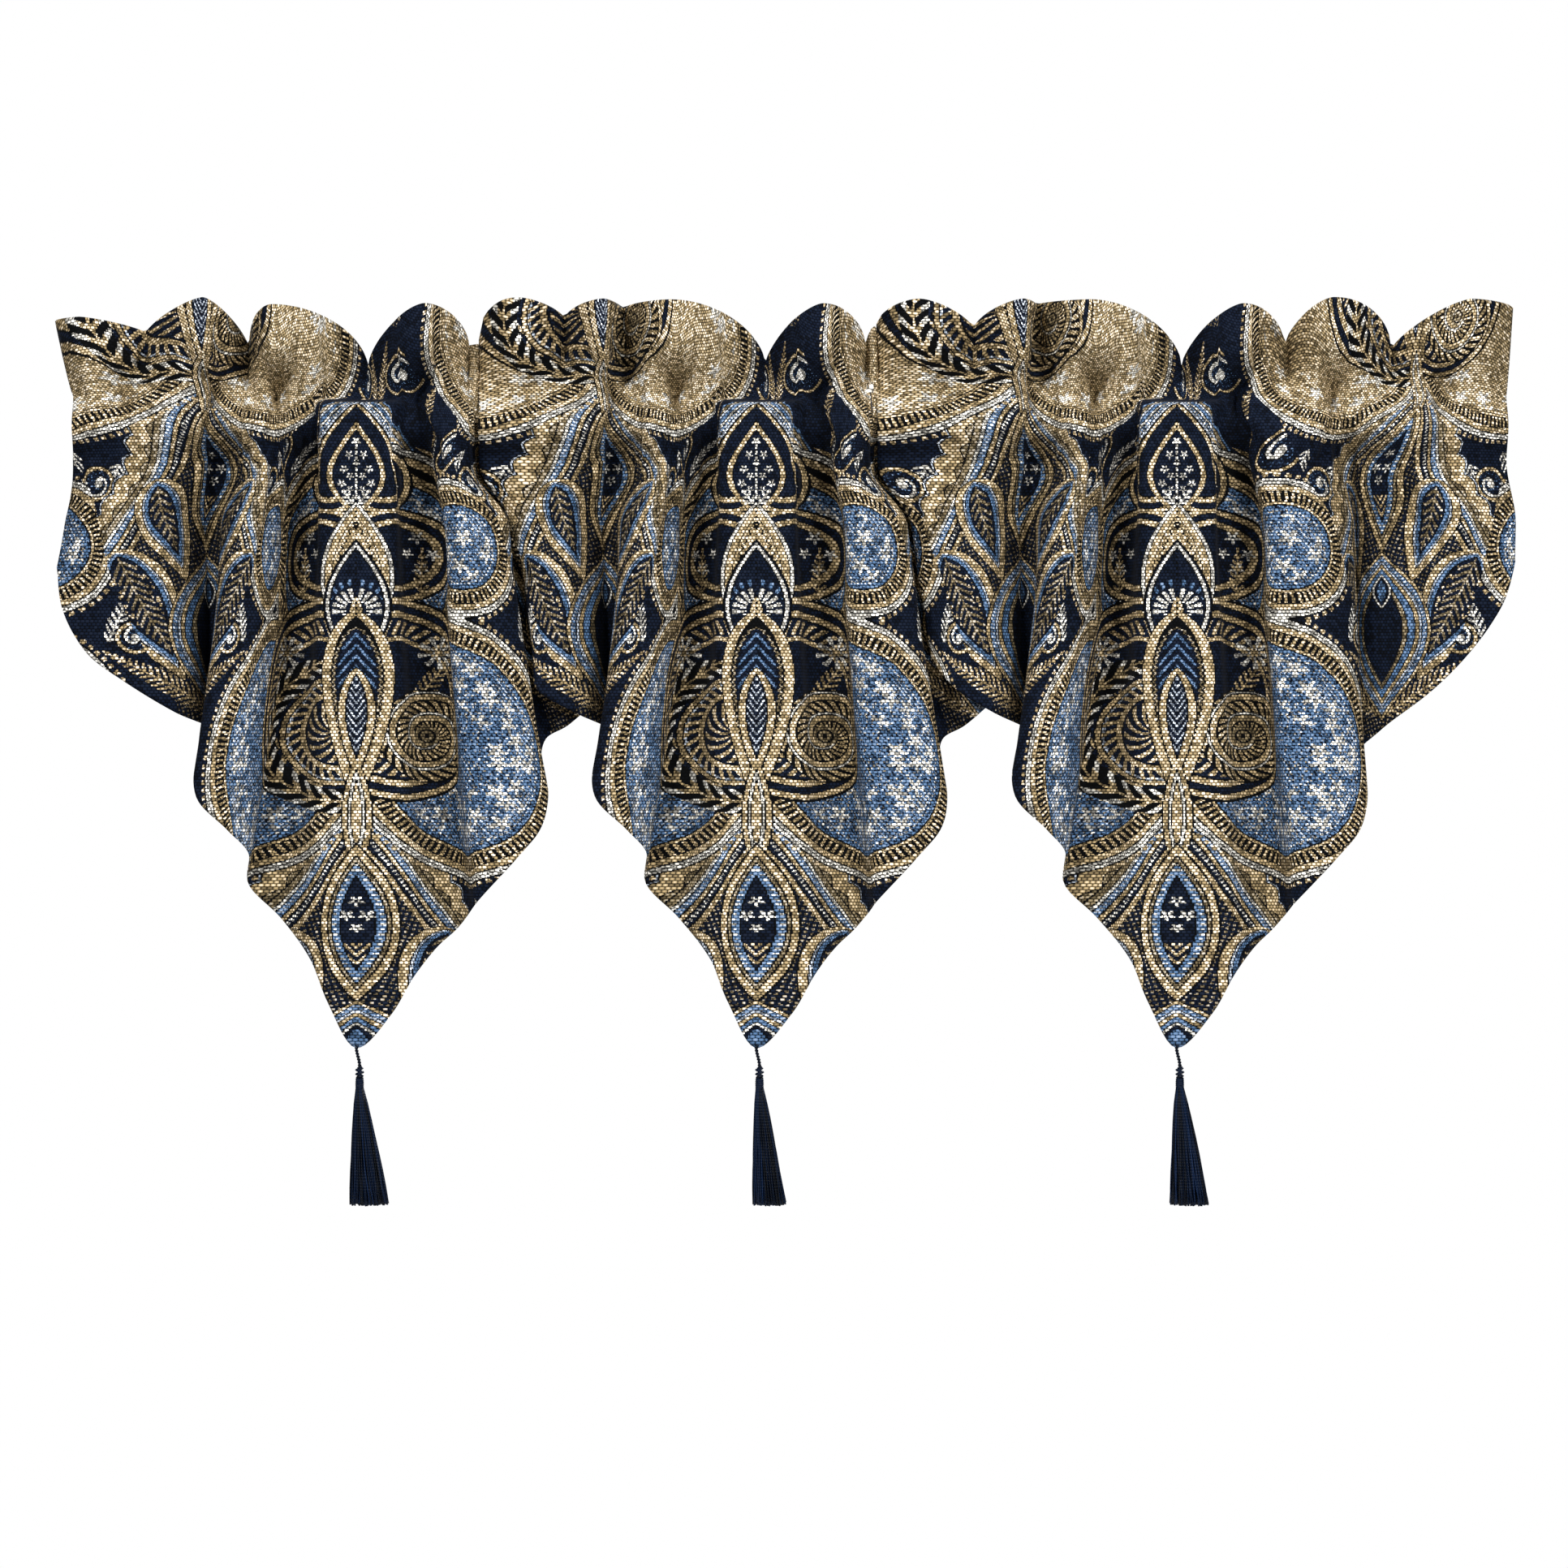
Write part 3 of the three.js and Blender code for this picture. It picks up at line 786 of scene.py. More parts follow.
    def wrinkled(self, points: Array, hidden: Array) -> Array:
        """The surface with its gathers, creases and slight unevenness.

        Args:
            points: the smooth surface.
            hidden: 1 for the rows of the back and of the turned hem.

        Returns:
            The points, moved along the cloth's normals.
        """
        x, z = points[:, :, 0], points[:, :, 2]
        unseen = hidden[:, None] > 0
        lift = self.gathers.ridges(self.along) * (1 - self._ledge() * self.ledge_calm)
        lift = lift * self.gathers.envelope(z, self.heading.stitch_rise)
        lift = lift * np.where(unseen, self.back_calm, 1.0)
        away = smoothstep(np.abs(z), self.back_low, self.back_high)
        way = (1 - 2 * hidden)[:, None] * np.where(unseen, away, 1.0)
        (a, b), (c, d) = self.wave_across, self.wave_down
        waves = np.sin(self.along / a + z / c) * np.sin(z / d + self.along / b)
        lift = lift + self.unevenness * waves * way
        drags = [crease for pinch in self.pinches for crease in pinch.creases()]
        for crease in (*self.creases, *drags):
            lift = lift + self.crease_strength * self._crease(crease, x, z) * way
        moved = points + normals(points) * lift[:, :, None]
        moved[:, :, 2] = z
        for pinch in self.pinches:
            across, up = (x - pinch.x) / pinch.half_width, (z - pinch.z) / self.pinch_height
            near = np.exp(-(across**2) - up**2)
            pull = pinch.pull * near * (1 - self._ledge())
            moved[:, :, 0] -= (x - pinch.x) * pull
            moved[:, :, 1] += self.pinch_sink * pull
        self._double_header(moved)
        return moved

    def _double_header(self, points: Array) -> None:
        """Lay the header's back layer behind its front, a layer's gap away along the front's normals.

        Args:
            points: the surface, whose back rows are moved.
        """
        crown, rows = self.crown, self.header_rows
        front = points[crown - rows : crown]
        level = normals(front)
        level[:, :, 2] = 0
        behind = front - level * self.heading.layer_gap
        points[crown + 1 : crown + 1 + rows] = behind[::-1]
        points[crown] = lerp(front[-1], behind[-1], 0.5)
        points[crown, :, 2] += self.heading.layer_gap / 2

    def _crease(self, crease: Crease, x: Array, z: Array) -> Array:
        """One crease's lift of the front.

        Args:
            crease: the crease.
            x: the points' places across.
            z: their heights.

        Returns:
            The lift at each point.
        """
        run = np.array([crease.to_x - crease.from_x, crease.to_z - crease.from_z], float)
        length = np.hypot(*run)
        run /= length
        dx, dz = x - crease.from_x, z - crease.from_z
        along = np.clip((dx * run[0] + dz * run[1]) / length, 0, 1)
        bow = self.crease_bow * np.sin(along * np.pi)
        off = np.hypot(dx - along * length * run[0] - bow, dz - along * length * run[1])
        fade = np.sin(np.clip(along, self.crease_end, 1 - self.crease_end) * np.pi) ** 0.5
        return crease.depth * np.exp(-((off / crease.width) ** 2)) * fade

    def _openness(self, points: Array) -> Array:
        """How open to the room each point of the front is: 1 on ridges, less in folds and under the heading.

        Args:
            points: the finished surface.

        Returns:
            The share by row and column, 1 on the back.
        """
        seen = slice(self.turned, self.crown + 1)
        x, y, z = (points[seen, :, k] for k in range(3))
        rise = y[:, :, None] - y[:, None, :]
        run = x[:, None, :] - x[:, :, None]
        far = np.abs(run)
        slope = np.where(far < self.fold_view, rise / np.maximum(far, self.side_reach), 0).clip(0)
        left = np.where(run < 0, slope, 0).max(axis=2)
        right = np.where(run > 0, slope, 0).max(axis=2)
        side = 1 - (left / np.hypot(1, left) + right / np.hypot(1, right)) / 2
        rise = y.T[:, :, None] - y.T[:, None, :]
        above = z.T[:, None, :] - z.T[:, :, None]
        near = (above > 0) & (above < self.fold_view)
        over = np.where(near, rise / np.maximum(above, self.over_reach), 0).clip(0).max(axis=2).T
        share = np.ones(points.shape[:2])
        share[seen] = side * (1 - self.over_shade * over / np.hypot(1, over))
        for axis in (0, 1):
            share = np.apply_along_axis(eased, axis, share, self.shade_spread, mode="edge")
        return share

    def build(self) -> Object:
        """Make the sheet as a mesh object.

        Returns:
            The cloth, in its place in the row.
        """
        points, hidden, weave = self.surface()
        points = self.wrinkled(points, hidden)
        rows, columns = points.shape[:2]
        name = f"cloth_{self.place.value}"
        mesh = bpy.data.meshes.new(name)
        grid = bmesh.new()
        bmesh.ops.create_grid(grid, x_segments=columns - 1, y_segments=rows - 1, size=1.0)
        grid.to_mesh(mesh)
        grid.free()
        start = np.empty(len(mesh.vertices) * 3)
        mesh.vertices.foreach_get("co", start)
        start = (start.reshape(-1, 3)[:, :2] + 1) / 2
        column, row = np.rint(start * (columns - 1, rows - 1)).astype(int).T
        placed = points[row, column] + np.array([self.axis_x, 0, 0])
        mesh.vertices.foreach_set("co", (placed * MM).ravel())
        length = np.stack([np.broadcast_to(self.along, (rows, columns)), weave[:, :, 1]], axis=2)
        maps = {"Weave": weave[row, column] * MM, "Threads": length[row, column] * MM}
        # The openness goes to the face's finish, which darkens the colour with it: painted shade in folds and
        # under the heading
        dress_mesh(mesh, "fold_open", self._openness(points)[row, column], maps)
        self.area = self._area(points) * MM * MM
        self.drop = float(np.linalg.norm(np.diff(points, axis=0), axis=2).sum(axis=0).max()) * MM
        return put(name, mesh)

    @staticmethod
    def _area(points: Array) -> float:
        """Area of a grid of points.

        Args:
            points: the grid by row and column.

        Returns:
            Its area.
        """
        side = points[1:, 1:] - points[:-1, :-1]
        other = points[1:, :-1] - points[:-1, 1:]
        return float(np.linalg.norm(np.cross(side, other), axis=2).sum() / 2)

    def dress(self, cloth: Object, face: "JacquardFinish", reverse: "JacquardFinish") -> None:
        """Give the cloth its thickness, its two woven sides and its place on the frame.

        Args:
            cloth: the sheet.
            face: finish of the right side.
            reverse: finish of the wrong side.
        """
        cloth.data.materials.append(face.material())
        cloth.data.materials.append(reverse.material())
        shell = cloth.modifiers.new("thickness", "SOLIDIFY")
        shell.thickness = self.thickness * MM
        shell.offset = 0.0
        shell.material_offset = 1
        shell.use_rim = True
        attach(cloth, "root")
        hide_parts(f"heading_{self.place.value}", f"panel_{self.place.value}")


class Dye(Enum):
    """Colours of the cloth's yarns."""

    NAVY = "navy"
    INK = "ink"
    GOLD = "gold"
    TAN = "tan"
    CREAM = "cream"
    BLUE = "blue"
    ICE = "ice"


NAVY, INK, GOLD, TAN, CREAM, BLUE, ICE = Dye


def linear(code: str) -> tuple[float, float, float, float]:
    """A colour from its hex code, as Blender's linear values."""
    parts = [int(code[i : i + 2], 16) / 255 for i in (1, 3, 5)]
    return (*[c / 12.92 if c <= 0.04045 else ((c + 0.055) / 1.055) ** 2.4 for c in parts], 1.0)


FACE_DYES = {
    NAVY: "#101c31",
    INK: "#05070b",
    GOLD: "#d9bd8b",
    TAN: "#a28f6b",
    CREAM: "#f7f2e6",
    BLUE: "#6489b6",
    ICE: "#cdd8e8",
}

REVERSE_DYES = {
    NAVY: "#84744f",
    INK: "#98885f",
    GOLD: "#2a3449",
    TAN: "#3a4253",
    CREAM: "#4b5262",
    BLUE: "#7d7458",
    ICE: "#5d6069",
}


def feed(node: Node, place: int | str, value: object) -> None:
    """Give an input of a node a field, another node's output or a fixed value.

    Args:
        node: the node.
        place: the input's number or name.
        value: what it gets.
    """
    value = getattr(value, "socket", value)
    if isinstance(value, Socket):
        node.id_data.links.new(value, node.inputs[place])
    else:
        node.inputs[place].default_value = value


def add_node(tree: Tree, kind: str, *values: object, **settings: str) -> Node:
    """Add a shader node.

    Args:
        tree: the tree that it joins.
        kind: its kind, without the usual prefix.
        values: what its first inputs get.
        settings: its own settings.

    Returns:
        The node.
    """
    node = tree.nodes.new(f"ShaderNode{kind}")
    for name, setting in settings.items():
        setattr(node, name, setting)
    for place, value in enumerate(values):
        feed(node, place, value)
    return node


class Field:
    """A number that varies over a surface: an output of a node tree that takes part in sums."""

    def __init__(self, tree: Tree, socket: Socket) -> None:
        """Hold a socket of a tree."""
        self.tree = tree
        self.socket = socket

    def math(self, operation: str, *others: "Field | float") -> "Field":
        """A math node on this field and others."""
        return Field(self.tree, add_node(self.tree, "Math", self, *others, operation=operation).outputs[0])

    # One math node each: less and more are 1 where this is below or above another, least and most the
    # smaller and larger of two, size the absolute value and part the fraction above a whole number
    __add__ = partialmethod(math, "ADD")
    __sub__ = partialmethod(math, "SUBTRACT")
    __mul__ = partialmethod(math, "MULTIPLY")
    __neg__ = partialmethod(math, "MULTIPLY", -1.0)
    less = partialmethod(math, "LESS_THAN")
    more = partialmethod(math, "GREATER_THAN")
    least = partialmethod(math, "MINIMUM")
    most = partialmethod(math, "MAXIMUM")
    sine = partialmethod(math, "SINE")
    size = partialmethod(math, "ABSOLUTE")
    part = partialmethod(math, "FRACT")
    floor = partialmethod(math, "FLOOR")

    def power(self, other: float) -> "Field":
        """This to a power."""
        return self if other == 1 else self.math("POWER", other)

    def scaled(self, factor: float, offset: "Field | float" = 0.0, held: bool = False) -> "Field":
        """This times a factor plus an offset.

        Args:
            factor: the factor.
            offset: what is added.
            held: True to hold the result between 0 and 1.

        Returns:
            The result.
        """
        result = self.math("MULTIPLY_ADD", factor, offset)
        result.socket.node.use_clamp = held
        return result

    def within(self, low: float, high: float) -> "Field":
        """1 between two values."""
        return self.math("COMPARE", (low + high) / 2, (high - low) / 2)


def split_vector(tree: Tree, vector: Socket) -> tuple[Field, Field]:
    """The first two parts of a vector."""
    split = add_node(tree, "SeparateXYZ", vector)
    return Field(tree, split.outputs[0]), Field(tree, split.outputs[1])


def uv_places(tree: Tree, name: str) -> tuple[Field, Field]:
    """Places on a UV map, across and down."""
    return split_vector(tree, add_node(tree, "UVMap", uv_map=name).outputs[0])


@dataclass
class Ogee:
    """A pointed motif on the pattern's axis, which runs down from its tip."""

    tip: float
    length: float
    half_width: float
    belly: float = 1.0
    cusp: float = 1.0


@dataclass
class Foil:
    """A round or oval lobe of a larger motif."""

    across: float
    down: float
    half_width: float
    half_height: float


class PaisleyDesign:
    """A traditional half-drop paisley of ogees and lobed leaves, worked out from round and pointed forms."""

    HALF = 270.0
    REPEAT = 730.0
    CELL_TOP = -112.0
    WAIST = 90.0
    WIDEST = 212.0
    SWAY = 16.0
    STEP = 0.9
    TOP_RIM = Ogee(-20, 118, 37, 1.0, 0.92)
    UPPER_LOBE = Foil(137, 99, 57, 57)
    LOWER_LOBE = Foil(98, 262, 110, 111)
    INNER_LOBE = Foil(34, 104, 72, 90)
    FOILS = (Foil(22, 44, 33, 30), Foil(32, 105, 50, 40), Foil(30, 222, 72, 84))
    SPRIGS = (
        ((96, 40), -24, 44, 7, CREAM), ((70, 14), 12, 60, 8, GOLD), ((150, 60), 40, 30, 6, CREAM),
        ((186, 176), 20, 44, 6, CREAM), ((112, 384), 158, 36, 6, CREAM), ((78, 396), 152, 30, 6, CREAM),
        ((146, 372), 120, 34, 6, GOLD), ((266, 235), -58, 98, 8, GOLD), ((62, -66), 24, 44, 6, CREAM),
        ((4, -40), 12, 62, 6, GOLD),
    )
    SCROLLS = (((132, 20), 20), ((98, 412), 15, -1.0), ((204, 172), 14), ((38, -66), 25))

    def __init__(self, tree: Tree, dyes: dict[Dye, str], fine: bool) -> None:
        """Start the design on a node tree.

        Args:
            tree: the material's node tree.
            dyes: the colour of each yarn.
            fine: False for the wrong side, where the small figures are lost among loose threads.
        """
        self.tree = tree
        self.dyes = dyes
        self.fine = fine
        self.colour: tuple[float, ...] | Socket = self.rgba(NAVY)
        self._places()

    def _places(self) -> None:
        """Find each point's place in one cell of the pattern, in whole threads."""
        across, down = (
            (part * METRE).math("SNAP", self.STEP) + self.STEP / 2 for part in uv_places(self.tree, "Weave")
        )
        folded = across.math("PINGPONG", self.HALF)
        beyond = across.math("WRAP", self.HALF, -self.HALF).more(0.0)
        turn = (down - self.WIDEST) * (2 * math.pi / self.REPEAT)
        edge = turn.math("COSINE") * self.WAIST + (turn * 3.0).sine() * self.SWAY + self.HALF / 2
        self.second = folded.more(edge)
        self.right = (beyond - self.second).size()
        self.p = folded + self.second * (folded * -2.0 + self.HALF)
        shifted = down + self.second * (self.REPEAT / 2)
        self.q = shifted.math("WRAP", self.CELL_TOP + self.REPEAT, self.CELL_TOP)
        self.place = self._joined(self.p, self.q)

    def _joined(self, across: Field, down: Field) -> Socket:
        """Two fields as one vector."""
        return add_node(self.tree, "CombineXYZ", across, down).outputs[0]

    def _vector(self, operation: str, place: Socket, other: tuple[float, float] | Socket) -> Node:
        """A vector node on a place and either a fixed vector or another place."""
        other = (*other, 0.0) if isinstance(other, tuple) else other
        return add_node(self.tree, "VectorMath", place, other, operation=operation)

    def _measure(self, operation: str, place: Socket, other: tuple[float, float]) -> Field:
        """A number from a place and a fixed vector."""
        return Field(self.tree, self._vector(operation, place, other).outputs["Value"])

    def rgba(self, dye: Dye) -> tuple[float, float, float, float]:
        """A yarn's colour in linear values."""
        return linear(self.dyes[dye])

    def lay(self, mask: Field, dye: Dye) -> None:
        """Weave one colour over what is there, where mask is 1."""
        self._mix(mask, self.rgba(dye))

    def _mix(self, mask: Field, colour: tuple[float, ...] | Socket) -> None:
        """Mix a colour over the design so far.

        Args:
            mask: where it shows.
            colour: a fixed colour, or another node's.
        """
        mix = add_node(self.tree, "Mix", mask, data_type="RGBA")
        feed(mix, 6, self.colour)
        feed(mix, 7, colour)
        self.colour = mix.outputs[2]

    def bands(self, distance: Field, rings: str, mask: Field | None = None) -> None:
        """Weave rings inside a motif's outline.

        Args:
            distance: how far inside the outline a point is, above 0 inside.
            rings: each ring's width and colour from the outline inwards. The last fills the rest.
            mask: where to weave, if not all over the motif.
        """
        parts = [ring.split() for ring in rings.split(",")]
        total = sum(float(width) for width, _ in parts)
        ramp = add_node(self.tree, "ValToRGB", distance * (1.0 / total))
        ramp.color_ramp.interpolation = "CONSTANT"
        elements = ramp.color_ramp.elements
        reached = 0.0
        for i, (width, dye) in enumerate(parts):
            at = reached / total
            element = elements[i] if i < 2 else elements.new(at)
            element.position = at
            element.color = self.rgba(Dye(dye))
            reached += float(width)
        inside = distance.more(0.0)
        self._mix(inside if mask is None else inside * mask, ramp.outputs[0])

    def foil(self, shape: Foil) -> Field:
        """How far inside a lobe each point is.

        Args:
            shape: the lobe.

        Returns:
            The distance, above 0 inside.
        """
        scale = (1 / shape.half_width, 1 / shape.half_height)
        squeezed = self._vector("MULTIPLY", self.place, scale).outputs["Vector"]
        centre = (shape.across * scale[0], shape.down * scale[1])
        small = min(shape.half_width, shape.half_height)
        return self._measure("DISTANCE", squeezed, centre).scaled(-small, small)

    def _radius(self, across: float, down: float) -> Field:
        """Distance from a place of the cell."""
        return self._measure("DISTANCE", self.place, (across, down))

    def _angle(self, across: float, down: float) -> Field:
        """Angle about a place of the cell."""
        return (self.q - down).math("ARCTAN2", self.p - across)

    def _polar(self, across: float, down: float) -> tuple[Field, Field]:
        """Distance from a place of the cell, and angle about it."""
        return self._radius(across, down), self._angle(across, down)

    def _turned(self, root: tuple[float, float], turn: float) -> tuple[Field, Field]:
        """Places on axes that are turned about a point of the cell.

        Args:
            root: the point, across and down.
            turn: the turn in degrees, from straight up to the outside.

        Returns:
            How far along and how far off to the side each point is.
        """
        c, s = math.cos(math.radians(turn)), math.sin(math.radians(turn))
        along = self._measure("DOT_PRODUCT", self.place, (s, -c)) - (root[0] * s - root[1] * c)
        off = self._measure("DOT_PRODUCT", self.place, (c, s)) - (root[0] * c + root[1] * s)
        return along, off.size()

    def wave(self, value: Field, pitch: float) -> Field:
        """A wave of that pitch along a value."""
        return (value * (2 * math.pi / pitch)).sine()

    def ogee(self, shape: Ogee, across: Field | None = None, down: Field | None = None) -> Field:
        """How far inside a pointed motif each point is, measured level.

        Args:
            shape: the motif.
            across: places across, if not the cell's own.
            down: places down, if not the cell's own.

        Returns:
            The distance, above 0 inside.
        """
        across = self.p if across is None else across
        down = self.q if down is None else down
        share = down.scaled(1 / shape.length, -shape.tip / shape.length, held=True)
        swell = (share.power(shape.belly) * math.pi).sine().most(0.0).power(shape.cusp)
        return swell * shape.half_width - across

    def fern(self, root: tuple[float, float], turn: float, length: float, reach: float, dye: Dye) -> None:
        """Weave a sprig: a stem with slanted leaves on both sides.

        Args:
            root: place of its foot, across and down.
            turn: its direction, in degrees from straight up, to the outside.
            length: its length.
            reach: how far its leaves stand out.
            dye: its colour.
        """
        if not self.fine:
            return
        along, off = self._turned(root, turn)
        share = along.scaled(1 / length, held=True)
        wide = (share.power(0.7) * math.pi).sine().scaled(reach, 0.7)
        leaf = self.wave(off.scaled(-0.95, along), 5.4).more(0.05)
        body = off.less(wide) * along.within(0.0, length)
        self.lay(body * leaf.most(off.less(0.6)), dye)

    def scroll(self, centre: tuple[float, float], radius: float, way: float = 1.0) -> None:
        """Weave a rolled scroll: a hooked coil with a bright eye, in a ring on a dotted blue ground.

        Args:
            centre: its middle, across and down.
            radius: its radius.
            way: 1 or -1 for the way that it's rolled.
        """
        if not self.fine:
            return
        r, a = self._polar(*centre)
        self.bands(r.scaled(-1.0, radius), "0.9 ink, 2.4 gold, 0.9 ink, 60 navy")
        inside = r.less(radius * 0.74)
        self.scatter(inside, 3.2, 0.18, BLUE)
        coil = (r * (1.3 / radius) - a * way * (0.5 / math.pi)).part()
        self.lay(coil.less(0.2) * inside, CREAM)
        self.lay(coil.within(0.2, 0.28) * inside, INK)
        self.lay(r.less(radius * 0.22), CREAM)

    def _petals(self, turn: Field, radius: float) -> Field:
        """The outline of five petals, as a distance by angle."""
        return (turn * 5.0).sine().scaled(0.34 * radius, 0.64 * radius)

    def floret(self, across: float, down: float, radius: float) -> None:
        """Weave a small cream flower.

        Args:
            across: place of its middle across the cell.
            down: its place down the cell.
            radius: its petals' reach.
        """
        if not self.fine:
            return
        r, turn = self._polar(across, down)
        self.lay(r.less(self._petals(turn, radius)) * r.more(0.8), CREAM)

    def _cells(self, place: Socket, size: float, randomness: float) -> Node:
        """Uneven cells of about one size over the cloth.

        Args:
            place: the places that they lie on.
            size: their size.
            randomness: how uneven they are, from 0 to 1.

        Returns:
            The node that finds them.
        """
        cells = add_node(self.tree, "TexVoronoi", place, voronoi_dimensions="2D")
        cells.inputs["Scale"].default_value = 1 / size
        cells.inputs["Randomness"].default_value = randomness
        return cells

    def garden(self, mask: Field, pitch: float, radius: float) -> None:
        """Weave cream flowers over an area, each a little out of line.

        Args:
            mask: the area.
            pitch: distance from flower to flower.
            radius: their petals' reach.
        """
        if not self.fine:
            return
        cells = self._cells(self.place, pitch, 0.7)
        off = self._vector("SUBTRACT", self.place, cells.outputs["Position"]).outputs["Vector"]
        across, down = split_vector(self.tree, off)
        petals = self._petals(down.math("ARCTAN2", across), radius)
        r = Field(self.tree, cells.outputs["Distance"]) * pitch
        self.lay(r.within(0.9, 0.98 * radius) * r.less(petals) * mask, CREAM)

    def scatter(self, mask: Field, size: float, share: float, dye: Dye, slant: float = 0.0) -> None:
        """Weave small uneven flecks over an area.

        Args:
            mask: the area.
            size: distance from fleck to fleck.
            share: a fleck's share of that.
            dye: its colour.
            slant: how far the flecks lean.
        """
        if not self.fine:
            return
        place = self._joined(self.q.scaled(slant, self.p), self.q) if slant else self.place
        cells = self._cells(place, size, 0.85)
        self.lay(Field(self.tree, cells.outputs["Distance"]).less(share) * mask, dye)

    def draw(self) -> Socket:
        """Weave the whole cell, from the ground to the motifs that lie on top.

        Returns:
            The design's colour.
        """
        self._ground()
        self._fan()
        self._leaf()
        self._lobes()
        self._medallion()
        self._axis()
        return self.colour

    def _fan(self) -> None:
        """Fine lines that spread round the uppermost ogee."""
        out = -self.ogee(self.TOP_RIM)
        self.bands(
            out,
            "1.2 ink, 2 ice, 1 ink, 2.6 blue, 1 ink, 1.8 cream, 1 ink, 3 blue, 1 ink, 1.8 ice, 1 ink, "
            "3 tan, 1 ink, 2 blue, 1 ink, 40 navy",
            self.q.within(-24, 60) * self.p.less(70),
        )
        beads = self.wave(self.q + self.p, 3.4).more(0.3) * self.q.within(-24, 60)
        self.lay(out.within(4.2, 6.8) * beads, CREAM)

    def _ground(self) -> None:
        """Sprigs and scrolls on the dark ground between the large motifs."""
        for sprig in self.SPRIGS:
            self.fern(*sprig)
        for scroll in self.SCROLLS:
            self.scroll(*scroll)

    def _leaf(self) -> None:
        """The spread leaf under the lobes, with its scalloped edge and beaded ribs."""
        run = (self.q - self.p * 1.87 - 262) * 0.47
        petal = ((self.q + self.p * 0.5) * (math.pi / 21)).sine().size() * 5
        inside = run + petal
        bounds = self.q.more(286)
        self.bands(inside, "0.9 ink, 0.9 ice, 0.9 ink, 11 gold, 1 ink, 4 tan, 30 gold", bounds)
        self.bands(
            run - 13,
            "0.8 ink, 3.2 tan, 0.7 ink, 1.8 cream, 0.7 ink, 3.6 blue, 0.9 ink, 2.2 gold, 1 ink, "
            "4.4 navy, 1 ink, 3.2 gold, 0.8 ink, 60 navy",
            bounds,
        )
        beads = self.wave(self.q + self.p * 0.5, 3.6).more(0)
        self.lay(run.within(20.6, 23.2) * beads * bounds, ICE)
        self.lay(run.within(28.6, 31) * beads * bounds, CREAM)
        dots = self.wave(self.q + self.p * 0.5, 5.6) * self.wave(self.p - self.q * 0.5, 5.6)
        self.lay(run.more(36.5) * bounds * dots.more(0.38), TAN)
        self.fern((4, 600), 58, 98, 8, GOLD)
        self._heart((56, 520), 25, 116, 29)
        self._heart((38, 450), 19, 88, 23)

    def _heart(self, centre: tuple[float, float], turn: float, length: float, width: float) -> None:
        """A slanting leaf with a gold rim, and a sprig on its dark inside.

        Args:
            centre: its middle, across and down.
            turn: its direction, in degrees from straight up.
            length: its length.
            width: its greatest half width.
        """
        along, side = self._turned(centre, turn)
        along = along.scaled(-1, length / 2)
        leaf = self.ogee(Ogee(0, length, width, 0.62, 0.85), side, along)
        self.bands(
            leaf,
            "1 ink, 5.8 gold, 0.9 ink, 1.3 ice, 0.7 ink, 3 blue, 0.9 ink, 20 navy",
            self.q.more(390),
        )
        sprig = self.wave(along - side * 1.1, 7.4).more(0.25) * side.less(width * 0.3)
        inner = leaf.more(14.6)
        self.lay(inner * sprig.most(side.less(0.6)), TAN)
        self.scatter(inner * side.more(width * 0.32), 4.4, 0.3, GOLD)

    def _lobes(self) -> None:
        """The large two-lobed paisley with its beaded rim, tick border and flowered field."""
        first, second = self.foil(self.UPPER_LOBE), self.foil(self.LOWER_LOBE)
        inside = first.math("SMOOTH_MAX", second, 12).math("SMOOTH_MAX", self.foil(self.INNER_LOBE), 12)
        upper_turn = self._angle(self.UPPER_LOBE.across, self.UPPER_LOBE.down) * 64
        lower_turn = self._angle(self.LOWER_LOBE.across, self.LOWER_LOBE.down) * 132
        turn = lower_turn + first.more(second) * (upper_turn - lower_turn)
        self.lay(inside.within(-3.4, -0.5) * (turn * 0.8).sine().more(-0.1), GOLD)
        self.bands(
            inside,
            "0.9 ink, 1.9 cream, 0.6 ink, 2 cream, 0.9 ink, 4.4 gold, 0.8 ink, 8.6 ink, 2 gold, "
            "0.8 ink, 70 blue",
        )
        self.lay(inside.within(11.8, 19.6) * turn.sine().more(0.15), GOLD)
        flowers = inside.more(23)
        self.lay(flowers * self.second, GOLD)
        self.lay(inside.within(27, 28.4) * turn.sine().more(0), CREAM)
        blue = flowers * self.second.less(0.5)
        self.scatter(blue, 3.4, 0.26, NAVY, -0.5)
        self.scatter(flowers * self.second, 3.8, 0.3, TAN, 0.4)
        thick = blue * self.wave(self.q + self.p * 0.4, 46).more(-0.7)
        self.scatter(thick * inside.more(31), 4.2, 0.15, CREAM, 0.5)
        self.scatter(blue * inside.more(26), 5.6, 0.1, GOLD, 0.2)
        self.lay(thick * inside.within(29, 45) * self.wave(self.q - self.p * 1.4, 5.6).more(0.86), ICE)
        self.garden(blue * inside.within(30, 66), 17, 7.5)
        self.garden(self.second * inside.within(27, 58), 29, 9)

